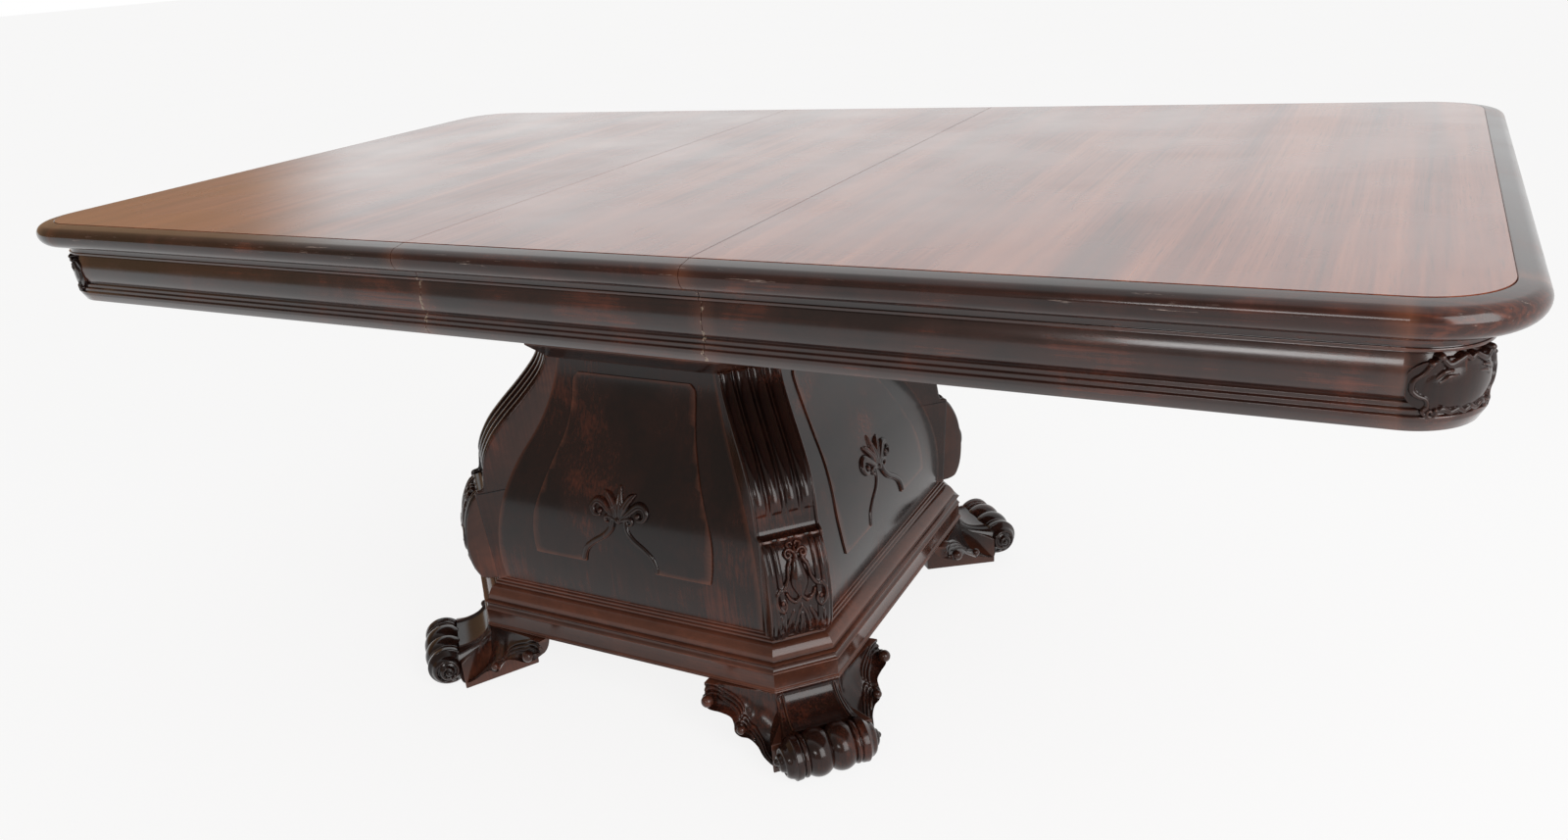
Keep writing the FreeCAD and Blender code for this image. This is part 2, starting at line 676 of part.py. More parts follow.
def shell(owner, inner, outer):
    """Trims a body to the space between two offsets of the body's curve."""
    reach = size.bell_bulge + size.overrun
    for offset, limit in ((outer, -(reach + size.overrun)), (inner, ZERO)):
        curve = bell(offset)
        pocket(owner, "YZ_Plane", (
            (limit, size.plinth_top - size.overrun),
            (curve[0][0], size.plinth_top - size.overrun),
        ) + curve + (
            (curve[2][0], size.bell_top + size.overrun),
            (limit, size.bell_top + size.overrun),
        ), reach, reach * 2)


def panel(name, turn):
    """One curved panel of the body, with its edges along the corner posts."""
    piece = body(name)
    near = size.bell_neck - size.panel_thick - size.overrun
    far = size.bell_bulge + size.overrun
    pad(piece, "XY_Plane", (
        (-(far - size.panel_leg), -far),
        (far - size.panel_leg, -far),
        (near - size.panel_leg, -near),
        (-(near - size.panel_leg), -near),
    ), size.plinth_top, size.body_high)
    shell(piece, -size.panel_thick, ZERO)
    place(piece, size.center_x, ZERO, ZERO, turn)
    return piece


# Half outlines, as shares of the half width and of the height, from the middle of the foot to the middle of
# the head.
FIELD_SHARES = ((0, 0.3), (0.05, 0.285), (0.07, 0.21), (0.15, 0.16), (0.285, 0.115), (0.37, 0.07),
                (0.41, 0), (1.02, 0), (1.045, 0.1), (1.035, 0.24), (0.965, 0.35), (0.85, 0.525),
                (0.75, 0.68), (0.72, 0.78), (0.71, 0.9), (0.7, 0.965), (0.65, 1))
PALM_SHARES = ((0.2, 0), (0.62, 0.06), (1, 0.2), (0.92, 0.45), (0.66, 0.72), (0.28, 0.94))


def relief(name, shares, half_width, low, high, inner, outer, turn):
    """A flat carving laid on the body's curve, the same left and right of its middle."""
    piece = body(name)
    right = [(half_width * across, low + high * up) for across, up in shares]
    left = [(-across, up) for across, up in reversed(right) if across.value]
    reach = size.bell_bulge + size.overrun
    pad(piece, "XZ_Plane", right + left, ZERO, reach)
    shell(piece, inner, outer)
    place(piece, size.center_x, ZERO, ZERO, turn)
    return piece


# Face of the corner scroll, as shares of its run and of its height, from the knee to the head.
SCROLL_SHARES = ((0.975, 0.125), (0.925, 0.23), (0.805, 0.355), (0.62, 0.49), (0.4, 0.63), (0.245, 0.75),
                 (0.095, 0.865))


def corner_post(name, turn):
    """One corner post, with a scroll above a ledge; its middle plane is XZ."""
    piece = body(name)
    scroll_high = size.bell_top - size.knee_up
    scroll_run = size.scroll_knee - size.scroll_head
    curve = [(size.scroll_head + scroll_run * out, size.knee_up + scroll_high * up)
             for out, up in SCROLL_SHARES]
    pad(piece, "XZ_Plane", [
        (size.post_back_low, size.plinth_top),
        (size.post_foot, size.plinth_top),
        (size.post_face, size.ledge_up),
        (size.scroll_knee, size.knee_foot),
        (size.scroll_knee, size.knee_up),
    ] + curve + [
        (size.scroll_head, size.bell_top),
        (size.post_back_top, size.bell_top),
    ], -size.post_half, size.post_half * 2)
    place(piece, size.center_x, ZERO, ZERO, turn)
    return piece


# Face of the carved block, as shares of its projection and of its height, from the foot to the top.
BLOCK_SHARES = ((0.25, 0.02), (0.6, 0.07), (0.9, 0.22), (1, 0.43), (0.93, 0.6), (0.74, 0.76), (0.38, 0.91))


def carved_block(name, turn):
    """One carved block on the face of a corner post."""
    piece = body(name)
    high = size.block_top - size.plinth_top
    lean = (size.post_face - size.post_foot) / (size.ledge_up - size.plinth_top)
    curve = [(size.post_face + size.block_out * out, size.plinth_top + high * up) for out, up in BLOCK_SHARES]
    pad(piece, "XZ_Plane", [
        (size.post_foot, size.plinth_top),
        (size.post_foot + size.block_foot_out, size.plinth_top),
    ] + curve + [
        (size.post_foot + high * lean, size.block_top),
    ], -size.block_half, size.block_half * 2)
    place(piece, size.center_x, ZERO, ZERO, turn)
    return piece


# Rounding of the plinth's bead, as a share of half its height.
BEAD_SHARE = 1.05


def plinth_length(name, widest, half_long, turn):
    """One mitred length of the plinth, built across the X axis."""
    piece = body(name)
    inner = widest - size.plinth_deep
    inner_half = half_long - size.plinth_deep * MITRE
    pad(piece, "XY_Plane", (
        (inner, -inner_half),
        (widest, -half_long),
        (widest, half_long),
        (inner, inner_half),
    ), size.plinth_low, size.plinth_high)
    fascia = widest - size.plinth_fascia
    bead_up = size.plinth_low + size.bead_low
    bead_top = bead_up + size.plinth_bead * 2
    limit = widest + size.overrun
    ledge = widest - size.cove_ledge
    back = widest - size.plinth_cove
    hollow = chord_radius(ledge - back, size.plinth_top - bead_top)
    pocket(piece, "XZ_Plane", (
        (limit, size.plinth_low - size.overrun),
        (limit, size.plinth_top + size.overrun),
        (back, size.plinth_top + size.overrun),
        (back, size.plinth_top),
        (ledge, bead_top, hollow, 1),
        (fascia, bead_top),
        (fascia, bead_up, size.plinth_bead * BEAD_SHARE, -1),
        (fascia, size.plinth_low - size.overrun),
    ), half_long + size.overrun, (half_long + size.overrun) * 2)
    place(piece, size.center_x, ZERO, ZERO, turn)
    return piece


# Lower edge of a foot's wing, as shares of its run and of its height, from the tip to the toe.
WING_SHARES = ((0.04, 1), (0.33, 0.93), (0.42, 0.77), (0.39, 0.55), (0.51, 0.6), (0.71, 0.37), (0.94, 0.08),
               (1, 0.02))


def foot(name, turn):
    """One carved foot, with its middle plane on XZ and its wings to both sides."""
    piece = body(name)
    toe = size.roll_place - size.roll_radius / 2
    pad(piece, "XY_Plane", (
        (size.foot_back, -size.foot_back_half),
        (size.wing_tip, -size.wing_half),
        (toe - size.roll_radius, -size.toe_half, size.wing_bow, -1),
        (toe, -size.toe_half),
        (toe, size.toe_half),
        (toe - size.roll_radius, size.toe_half),
        (size.wing_tip, size.wing_half, size.wing_bow, -1),
        (size.foot_back, size.foot_back_half),
    ), ZERO, size.plinth_low)
    seat = size.roll_radius + size.roll_seat
    rest_up = size.roll_radius - size.seat_rest
    rest = size.roll_place - (seat * seat - rest_up * rest_up).root()
    low_up = size.roll_radius - size.seat_rise
    low = size.roll_place - (seat * seat - low_up * low_up).root()
    limit = size.roll_place + size.roll_radius
    half_wide = size.wing_half + size.overrun
    pocket(piece, "XZ_Plane", (
        (limit, -size.overrun),
        (limit, size.plinth_low + size.overrun),
        (size.foot_neck, size.plinth_low + size.overrun),
        (size.foot_neck, size.plinth_low),
        (rest, size.roll_radius + rest_up, size.foot_sweep, 1),
        (low, size.seat_rise, seat, 1),
        (low, -size.overrun),
    ), half_wide, half_wide * 2)
    edge = [(size.wing_tip + size.wing_reach * along, size.wing_low * up) for along, up in WING_SHARES]
    outside = [
        (size.foot_back - size.overrun, -size.overrun),
        (size.foot_back - size.overrun, size.wing_low),
    ] + edge + [
        (size.wing_tip + size.wing_reach, -size.overrun),
    ]
    depth = half_wide - size.core_half
    pocket(piece, "XZ_Plane", outside, half_wide, depth)
    pocket(piece, "XZ_Plane", outside, -size.core_half, depth)
    place(piece, size.center_x, ZERO, ZERO, turn)
    return piece


def roll(name, turn):
    """One turned roll of a foot, with two swells between end rings."""
    piece = body(name)
    ring_in = size.roll_half - size.roll_ring
    dip = size.roll_radius - size.roll_dip
    right = [
        (size.roll_radius - size.ring_round, ring_in),
        (size.roll_radius, ring_in + size.ring_round, size.ring_round, 1),
        (size.roll_radius, size.roll_half - size.ring_round),
        (size.roll_radius - size.ring_round, size.roll_half, size.ring_round, 1),
        (size.button_radius, size.roll_half),
        (size.button_radius - size.roll_button, size.roll_half + size.roll_button),
        (ZERO, size.roll_half + size.roll_button),
    ]
    left = [
        (ZERO, -(size.roll_half + size.roll_button)),
        (size.button_radius - size.roll_button, -(size.roll_half + size.roll_button)),
        (size.button_radius, -size.roll_half),
        (size.roll_radius - size.ring_round, -size.roll_half),
        (size.roll_radius, size.ring_round - size.roll_half, size.ring_round, 1),
        (size.roll_radius, -(ring_in + size.ring_round)),
        (size.roll_radius - size.ring_round, -ring_in, size.ring_round, 1),
        (dip, -ring_in),
        (dip, ZERO, size.swell_radius, 1),
        (dip, ring_in, size.swell_radius, 1),
    ]
    spin(piece, left + right, HALF_TURN * 2)
    upright = FreeCAD.Rotation(FreeCAD.Vector(0, 0, 1), turn)
    lying = FreeCAD.Rotation(FreeCAD.Vector(1, 0, 0), QUARTER)
    place(piece, size.center_x, ZERO, size.roll_radius)
    piece.Placement.Rotation = upright * lying
    reach = upright.multVec(FreeCAD.Vector(1, 0, 0))
    piece.setExpression("Placement.Base.x", (size.center_x + size.roll_place * reach.x).text)
    piece.setExpression("Placement.Base.y", (size.roll_place * reach.y).text)
    return piece


def octagon(out, leg):
    """Corners of a square with cut corners."""
    short = out - leg
    return (
        (-short, -out),
        (short, -out),
        (out, -short),
        (out, short),
        (short, out),
        (-short, out),
        (-out, short),
        (-out, -short),
    )


SIDES = (("front", 0), ("right", 90), ("back", 180), ("left", 270))
CORNERS = (("front_right", -45), ("back_right", 45), ("back_left", 135), ("front_left", 225))

fields = []
palms = []
plinth_sides = []
field_back = size.field_seat
field_face = field_back + size.field_raise
palm_back = field_face + size.field_seat
for side, turn in SIDES:
    node("panel_" + side, panel("panel_" + side, turn))
    fields.append(relief("field_" + side, FIELD_SHARES, size.field_half, size.field_low, size.field_high,
                         field_back, field_face, turn))
    palms.append(relief("palmette_" + side, PALM_SHARES, size.palm_half, size.palm_low, size.palm_high,
                        palm_back, palm_back + size.palm_raise, turn))
    plinth_sides.append(plinth_length("plinth_" + side, size.plinth_out, size.plinth_out - size.plinth_leg,
                                      turn - QUARTER))
group("raised_fields", fields)
group("palmettes", palms)
group("plinth_sides", plinth_sides)

plinth_corners = []
bolts = []
bolt_bores = []
for place_name, turn in CORNERS:
    node("corner_post_" + place_name, corner_post("corner_post_" + place_name, turn))
    node("carved_block_" + place_name, carved_block("carved_block_" + place_name, turn))
    plinth_corners.append(plinth_length("plinth_corner_" + place_name, size.plinth_cant,
                                        size.plinth_leg / Size(math.sqrt(2), "sqrt(2)"), turn))
    reach = FreeCAD.Rotation(FreeCAD.Vector(0, 0, 1), turn).multVec(FreeCAD.Vector(1, 0, 0))
    bolt_x = size.center_x + size.bolt_place * reach.x
    bolt_y = size.bolt_place * reach.y
    bolt_low = size.plinth_low - size.bolt_bite
    bolt_long = size.bolt_bite + size.board_thick
    shank = rod(f"bolt_shank_{place_name}", size.bolt_radius, bolt_long, bolt_x, bolt_y, bolt_low)
    head = rod(f"bolt_head_{place_name}", size.bolt_head_radius, size.bolt_head_high, bolt_x, bolt_y,
               size.plinth_low + size.board_thick)
    bolts.append(join(f"bolt_{place_name}", shank, head))
    bore = rod(f"bolt_bore_{place_name}", size.bolt_radius + size.pin_room, bolt_long + size.overrun,
               bolt_x, bolt_y, bolt_low)
    bolt_bores.append(bore)
    node("foot_" + place_name, cut("foot_" + place_name, foot("foot_block_" + place_name, turn), [bore]))
    node("foot_roll_" + place_name, roll("foot_roll_" + place_name, turn))
group("plinth_corners", plinth_corners)
group("foot_bolts", bolts)

base = body("base_octagon")
base_out = size.plinth_out - size.plinth_deep
base_leg = base_out - (size.plinth_out - size.plinth_leg - size.plinth_deep * MITRE)
pad(base, "XY_Plane", octagon(base_out, base_leg), size.plinth_low, size.board_thick)
place(base, size.center_x)
node("base_board", cut("base_board", base, bolt_bores))

capital = body("capital")
foot_ring = sketch(capital, "XY_Plane", octagon(size.cap_low, size.cap_leg), size.bell_top)
head_ring = sketch(capital, "XY_Plane", octagon(size.cap_out, size.cap_leg), size.bell_top + size.cap_flare)
flare = capital.newObject("PartDesign::AdditiveLoft", "capital_flare")
flare.Profile = foot_ring
flare.Sections = [head_ring]
flare.Ruled = True
pad(capital, "XY_Plane", octagon(size.cap_out, size.cap_leg), size.bell_top + size.cap_flare, size.cap_band)
place(capital, size.center_x)
node("capital", capital)

doc.recompute()

for thing in doc.Objects:
    if "Invalid" in thing.State or "Error" in thing.State:
        raise RuntimeError(f"{thing.Name} is not sound: {thing.State}")
for name, thing in nodes.items():
    shape = thing.Shape
    if shape.isNull() or not shape.isValid() or not shape.Solids:
        raise RuntimeError(f"{name} has no sound solid")
    shape.exportStep(f"parts/{name}.step")
    limits = shape.BoundBox
    extent = f"{limits.XLength:.1f} x {limits.YLength:.1f} x {limits.ZLength:.1f}"
    print(f"{name}: {len(shape.Solids)} solids, {extent}")
print(f"{len(nodes)} pieces")
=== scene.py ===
"""Looks of a carved pedestal table with a sliding top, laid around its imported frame."""

import logging
import math
from collections.abc import Callable, Iterable, Sequence
from dataclasses import dataclass, field
from enum import Enum

import bmesh
import bpy
import numpy as np
from bmesh.types import BMEdge, BMesh, BMVert
from bpy.types import Material, Node, NodeSocket, NodeTree
from mathutils import Matrix, Vector


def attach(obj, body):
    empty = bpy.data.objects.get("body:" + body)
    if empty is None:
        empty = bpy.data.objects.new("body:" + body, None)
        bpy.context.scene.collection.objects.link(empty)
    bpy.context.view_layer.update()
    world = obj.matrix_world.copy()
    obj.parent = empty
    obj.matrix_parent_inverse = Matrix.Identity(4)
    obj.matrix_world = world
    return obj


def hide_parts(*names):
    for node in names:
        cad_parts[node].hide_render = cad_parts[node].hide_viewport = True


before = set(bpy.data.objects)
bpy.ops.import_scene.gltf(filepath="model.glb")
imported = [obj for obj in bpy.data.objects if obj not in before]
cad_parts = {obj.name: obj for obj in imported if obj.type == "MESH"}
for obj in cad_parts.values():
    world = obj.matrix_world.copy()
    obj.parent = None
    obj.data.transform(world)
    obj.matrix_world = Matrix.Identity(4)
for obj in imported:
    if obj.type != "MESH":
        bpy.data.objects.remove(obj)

LOG = logging.getLogger("table")
MM = 0.001
UP = Vector((0, 0, 1))
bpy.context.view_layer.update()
# A face with more corners than this is the cut end of a moulding and keeps its arris.
END_SIDES = 12
# Least turn of an arris that is rounded, in degrees.
ARRIS_TURN = 22.0
# Points nearer than this are one point, and carving lower than this is cut away, in millimetres.
LEAST_GAP = 0.01
LEAST_RISE = 0.02
# Steps of a scroll in one turn, and the share of its radius that it loses on the way to its eye.
TURN_STEPS = 8
WIND = 0.82
# Half width of a vein as a share of its ridge's.
VEIN_HALF = 0.25
# Keeps a division away from zero.
TINY = 1e-9
Point = tuple[float, float]
Spot = tuple[float, float, float]


class Body(Enum):
    """Moving bodies of the frame."""

    PEDESTAL = "pedestal"
    LEFT = "left_half"
    RIGHT = "right_half"
    LEAF = "leaf"


class Grain(Enum):
    """Ways in which the grain runs, as the axis of the frame."""

    LENGTH = 0
    WIDTH = 1
    UPRIGHT = 2


# Halves of the top with their bodies and turns, and sides and corners of the pedestal with their turns.
HALVES = (("left", Body.LEFT, 0), ("right", Body.RIGHT, 180))
SIDES = (("front", 0), ("right", 90), ("back", 180), ("left", 270))
CORNERS = (("front_right", -45), ("back_right", 45), ("back_left", 135), ("front_left", 225))


def linear(colour: str) -> tuple[float, float, float, float]:
    """Turns an sRGB hex colour to linear light.

    Args:
        colour: Six hex digits after a hash.

    Returns:
        Red, green, blue and an opaque alpha.
    """
    parts = [int(colour[place:place + 2], 16) / 255 for place in (1, 3, 5)]
    lit = [part / 12.92 if part <= 0.04045 else ((part + 0.055) / 1.055) ** 2.4 for part in parts]
    return (lit[0], lit[1], lit[2], 1.0)


def set_inputs(tree: NodeTree, node: Node, inputs: dict) -> None:
    """Sets or links inputs of a node.

    Args:
        tree: Node tree of the node.
        node: Node with the inputs.
        inputs: Inputs by name or number, each a socket to link or a value to set.
    """
    for name, value in inputs.items():
        if isinstance(value, NodeSocket):
            tree.links.new(value, node.inputs[name])
        else:
            node.inputs[name].default_value = value


def add_node(tree: NodeTree, kind: str, settings: dict | None = None, inputs: dict | None = None) -> Node:
    """Adds a node with its settings and inputs.

    Args:
        tree: Node tree that gets the node.
        kind: Blender's name of the node type.
        settings: Properties to set.
        inputs: Inputs by name or number, each a socket to link or a value to set.

    Returns:
        The new node.
    """
    node = tree.nodes.new(kind)
    for name, value in (settings or {}).items():
        setattr(node, name, value)
    set_inputs(tree, node, inputs or {})
    return node


def reckon(tree: NodeTree, operation: str, *values: NodeSocket | float) -> NodeSocket:
    """Works out one value from others.

    Args:
        tree: Node tree that gets the node.
        operation: Blender's name of the operation.
        values: Sockets or numbers in their order.

    Returns:
        The result.
    """
    return add_node(tree, "ShaderNodeMath", {"operation": operation}, dict(enumerate(values))).outputs[0]


def remap(tree: NodeTree, value: NodeSocket, given: Point, wanted: Point, smooth: bool = False) -> NodeSocket:
    """Maps one range of a value to another.

    Args:
        tree: Node tree that gets the node.
        value: Value to map.
        given: Start and end of the value's range.
        wanted: Results at that start and end.
        smooth: Whether the result eases in and out.

    Returns:
        The result.
    """
    kind = "SMOOTHSTEP" if smooth else "LINEAR"
    node = add_node(tree, "ShaderNodeMapRange", {"interpolation_type": kind}, {
        0: value, "From Min": given[0], "From Max": given[1], "To Min": wanted[0], "To Max": wanted[1]})
    return node.outputs[0]


def ramp(tree: NodeTree, value: NodeSocket, *stops: tuple[float, str]) -> NodeSocket:
    """Turns a value to a colour.

    Args:
        tree: Node tree that gets the node.
        value: Value to turn.
        stops: Places and sRGB hex colours: the first, the last and any between them.

    Returns:
        The colour.
    """
    node = add_node(tree, "ShaderNodeValToRGB", inputs={0: value})
    elements = node.color_ramp.elements
    for index, (place, colour) in enumerate(stops):
        stop = elements[index] if index < 2 else elements.new(place)
        stop.position = place
        stop.color = linear(colour)
    return node.outputs[0]


def blend(tree: NodeTree, share: NodeSocket, under: NodeSocket | str, over: NodeSocket | str) -> NodeSocket:
    """Lays one colour over another.

    Args:
        tree: Node tree that gets the node.
        share: How much of the upper colour shows.
        under: Lower colour, a socket or sRGB hex digits.
        over: Upper colour, a socket or sRGB hex digits.

    Returns:
        The colour.
    """
    lower, upper = (linear(paint) if isinstance(paint, str) else paint for paint in (under, over))
    return add_node(tree, "ShaderNodeMix", {"data_type": "RGBA"}, {0: share, 6: lower, 7: upper}).outputs[2]


def cloud(tree: NodeTree, place: NodeSocket, scale: float, detail: float, rough: float = 0.5,
          bend: float = 0.0) -> NodeSocket:
    """Adds a cloudy pattern.

    Args:
        tree: Node tree that gets the node.
        place: Coordinates of the pattern.
        scale: Clouds per metre.
        detail: Number of finer layers.
        rough: Strength of each finer layer.
        bend: How far the pattern is bent.

    Returns:
        The pattern's value.
    """
    return add_node(tree, "ShaderNodeTexNoise", inputs={
        "Vector": place, "Scale": scale, "Detail": detail, "Roughness": rough, "Distortion": bend}).outputs[0]


def drawn_out(tree: NodeTree, place: NodeSocket, long_mm: float, wide_mm: float, grain: Grain) -> NodeSocket:
    """Draws coordinates out along the grain.

    Args:
        tree: Node tree that gets the node.
        place: Coordinates in metres.
        long_mm: Size of the pattern along the grain in millimetres.
        wide_mm: Size of the pattern across the grain in millimetres.
        grain: Way in which the grain runs.

    Returns:
        Coordinates in which the pattern has a size of one.
    """
    scale = [1 / (wide_mm * MM)] * len(Grain)
    scale[grain.value] = 1 / (long_mm * MM)
    return add_node(tree, "ShaderNodeMapping", inputs={"Vector": place, "Scale": scale}).outputs[0]


def bump(tree: NodeTree, height: NodeSocket, strength: float, deep: float) -> NodeSocket:
    """Roughens a surface finely.

    Args:
        tree: Node tree that gets the node.
        height: Pattern of the roughness.
        strength: How strongly it shows.
        deep: Depth in metres.

    Returns:
        The surface's normal.
    """
    return add_node(tree, "ShaderNodeBump", inputs={
        "Strength": strength, "Distance": deep, "Height": height}).outputs[0]


def new_material(name: str) -> tuple[Material, NodeTree, Node, NodeSocket]:
    """Starts a material.

    Args:
        name: What the material is.

    Returns:
        The material, its node tree, its surface shader and the object's coordinates.
    """
    material = bpy.data.materials.new(name)
    material.use_nodes = True
    tree = material.node_tree
    place = add_node(tree, "ShaderNodeTexCoord").outputs["Object"]
    return material, tree, tree.nodes["Principled BSDF"], place


def axis_of(tree: NodeTree, place: NodeSocket, axis: str) -> NodeSocket:
    """Picks one axis of coordinates.

    Args:
        tree: Node tree that gets the node.
        place: Coordinates.
        axis: Letter of the axis.

    Returns:
        The place along that axis.
    """
    return add_node(tree, "ShaderNodeSeparateXYZ", inputs={0: place}).outputs[axis]


def shown(tree: NodeTree) -> tuple[NodeSocket, NodeSocket]:
    """Finds the rays that show the surround, also in gloss and in glass.

    Args:
        tree: Node tree that gets the nodes.

    Returns:
        1 for all of these rays, and 1 for the camera's own.
    """
    path = add_node(tree, "ShaderNodeLightPath").outputs
    camera = path["Is Camera Ray"]
    seen = reckon(tree, "MAXIMUM", camera, path["Is Glossy Ray"])
    return reckon(tree, "MAXIMUM", seen, path["Is Transmission Ray"]), camera


@dataclass(frozen=True)
class PolishedMahogany:
    """Mahogany boards under rubbed varnish: red-brown ribbon figure, fine dark pores and a wet gloss."""

    name: str = "polished_mahogany"
    deep: str = "#612b1d"
    middle: str = "#88452e"
    pale: str = "#a65f41"
    pore: str = "#2a110c"
    ribbon_mm: float = 55.0
    ribbon_long_mm: float = 1400.0
    streak_mm: float = 5.0
    streak_long_mm: float = 260.0
    # Real pores are about 0.3 mm wide, so they are drawn as coarse as they need to show.
    pore_mm: float = 1.3
    pore_long_mm: float = 34.0
    gloss_mm: float = 200.0
    rough: Point = (0.2, 0.34)
    coat: float = 0.7
    coat_rough: float = 0.12
    grain: Grain = Grain.WIDTH

    def build(self) -> Material:
        """Makes the material.

        Returns:
            The finished material.
        """
        material, tree, shader, place = new_material(self.name)
        ribbon, streak, pore = (
            cloud(tree, drawn_out(tree, place, long_mm, wide_mm, self.grain), 1.0, detail, bend=bend)
            for wide_mm, long_mm, detail, bend in (
                (self.ribbon_mm, self.ribbon_long_mm, 4.0, 0.6),
                (self.streak_mm, self.streak_long_mm, 3.0, 0.3),
                (self.pore_mm, self.pore_long_mm, 2.0, 0.0)))
        figure = reckon(tree, "ADD", ribbon, reckon(tree, "MULTIPLY_ADD", streak, 0.4, -0.2))
        tone = ramp(tree, figure, (0.3, self.deep), (0.7, self.pale), (0.5, self.middle))
        tone = blend(tree, remap(tree, pore, (0.6, 0.72), (0.0, 0.55)), tone, self.pore)
        rubbed = cloud(tree, place, 1 / (self.gloss_mm * MM), 5.0)
        set_inputs(tree, shader, {
            "Base Color": tone, "Roughness": remap(tree, rubbed, (0.3, 0.7), self.rough),
            "Normal": bump(tree, streak, 0.06, 0.4 * MM), "IOR": 1.5, "Coat Weight": self.coat,
            "Coat Roughness": self.coat_rough})
        return material


@dataclass(frozen=True)
class DarkVarnish:
    """Carved mahogany blackened by old varnish: red rubbed places, pale arrises with wear and a painted
    highlight, and hollows with dirt and painted shade.
    """

    name: str
    grain: Grain
    black: str = "#150c0a"
    brown: str = "#26130e"
    rubbed: str = "#562a1c"
    # Arrises are paler: worn varnish, and a painted highlight on the edges.
    arris_wear_and_highlight: str = "#84503c"
    # Hollows are near black: dirt, and painted shade standing in for occlusion.
    dirt_and_shade: str = "#0d0706"
    # Scuffs are pale: worn varnish, and a painted highlight along the nose.
    scuff_and_highlight: str = "#b9a89e"
    chip: str = "#958372"
    scuffed_and_highlit: bool = False
    chipped: bool = False
    shine: float = 0.28
    coat: float = 0.2
    coat_rough: float = 0.1
    rough: Point = (0.13, 0.27)
    patch_mm: float = 130.0
    streak_mm: float = 3.5
    streak_long_mm: float = 120.0
    # Shoes rub the body between these heights above the floor, most at the lower one.
    kick_mm: Point = (160.0, 265.0)
    kick: float = 0.07
    # Scuffs, which also paint a highlight, lie on the widest line of the moulded edge, this high above the
    # floor.
    scuff_and_highlight_mm: float = 5.0
    scuff_and_highlight_long_mm: float = 60.0
    scuff_and_highlight_up_mm: float = 750.0
    scuff_and_highlight_band_mm: float = 6.0
    # Chips lie beside the joints of the leaf, this far from the middle and at most this wide.
    chip_mm: float = 7.0
    chip_wide_mm: float = 6.0
    joint_mm: float = 198.0

    def build(self) -> Material:
        """Makes the material.

        Returns:
            The finished material.
        """
        material, tree, shader, place = new_material(self.name)
        patch = cloud(tree, place, 1 / (self.patch_mm * MM), 5.0, 0.62, 0.4)
        spread = drawn_out(tree, place, self.streak_long_mm, self.streak_mm, self.grain)
        streak = cloud(tree, spread, 1.0, 3.0)
        mixed = reckon(tree, "ADD", patch, reckon(tree, "MULTIPLY_ADD", streak, 0.35, -0.175))
        height = axis_of(tree, place, "Z")
        low, high = (edge * MM for edge in self.kick_mm)
        kicked = remap(tree, height, (low, high), (self.kick, 0.0), smooth=True)
        mixed = reckon(tree, "MULTIPLY_ADD", kicked, reckon(tree, "GREATER_THAN", height, low), mixed)
        tone = ramp(tree, mixed, (0.38, self.black), (0.76, self.rubbed), (0.57, self.brown))
        edge = add_node(tree, "ShaderNodeNewGeometry").outputs["Pointiness"]
        # Pointed arrises turn pale: wear, and a painted highlight.
        worn_and_highlit = reckon(tree, "MULTIPLY", remap(tree, edge, (0.52, 0.6), (0.0, 0.8)), patch)
        tone = blend(tree, worn_and_highlit, tone, self.arris_wear_and_highlight)
        # Hollows turn near black: dirt, and painted shade.
        tone = blend(tree, remap(tree, edge, (0.36, 0.47), (0.7, 0.0)), tone, self.dirt_and_shade)
        # Scuffs along the nose, which also paint a highlight there.
        if self.scuffed_and_highlit:
            tone = blend(tree, self.scuffs_and_highlights(tree, place, height), tone, self.scuff_and_highlight)
        if self.chipped:
            tone = blend(tree, self.chips(tree, place), tone, self.chip)
        set_inputs(tree, shader, {
            "Base Color": tone, "Roughness": remap(tree, patch, (0.3, 0.7), self.rough),
            "Normal": bump(tree, streak, 0.12, 0.5 * MM), "Specular IOR Level": self.shine,
            "Coat Weight": self.coat, "Coat Roughness": self.coat_rough})
        return material

    def scuffs_and_highlights(self, tree: NodeTree, place: NodeSocket, height: NodeSocket) -> NodeSocket:
        """Finds the scuffs along the widest line of the moulded edge, which also paint a highlight there.

        Args:
            tree: Node tree of the material.
            place: Object coordinates.
            height: Height above the floor.

        Returns:
            How pale the scuff and its painted highlight are, 0 beside the scuffs.
        """
        spread = drawn_out(tree, place, self.scuff_and_highlight_long_mm, self.scuff_and_highlight_mm, self.grain)
        worn_and_highlit = remap(tree, cloud(tree, spread, 1.0, 6.0, 0.7), (0.62, 0.72), (0.0, 0.6))
        band = reckon(tree, "COMPARE", height, self.scuff_and_highlight_up_mm * MM, self.scuff_and_highlight_band_mm * MM)
        return reckon(tree, "MULTIPLY", worn_and_highlit, band)

    def chips(self, tree: NodeTree, place: NodeSocket) -> NodeSocket:
        """Finds the broken varnish along the joints of the leaf.

        Args:
            tree: Node tree of the material.
            place: Object coordinates.

        Returns:
            1 where the varnish is broken, 0 elsewhere.
        """
        cells = cloud(tree, place, 1 / (self.chip_mm * MM), 4.0, 0.7)
        far = reckon(tree, "ABSOLUTE", axis_of(tree, place, "X"))
        far = reckon(tree, "ABSOLUTE", reckon(tree, "SUBTRACT", far, self.joint_mm * MM))
        return reckon(tree, "LESS_THAN", far, remap(tree, cells, (0.5, 0.75), (0.0, self.chip_wide_mm * MM)))


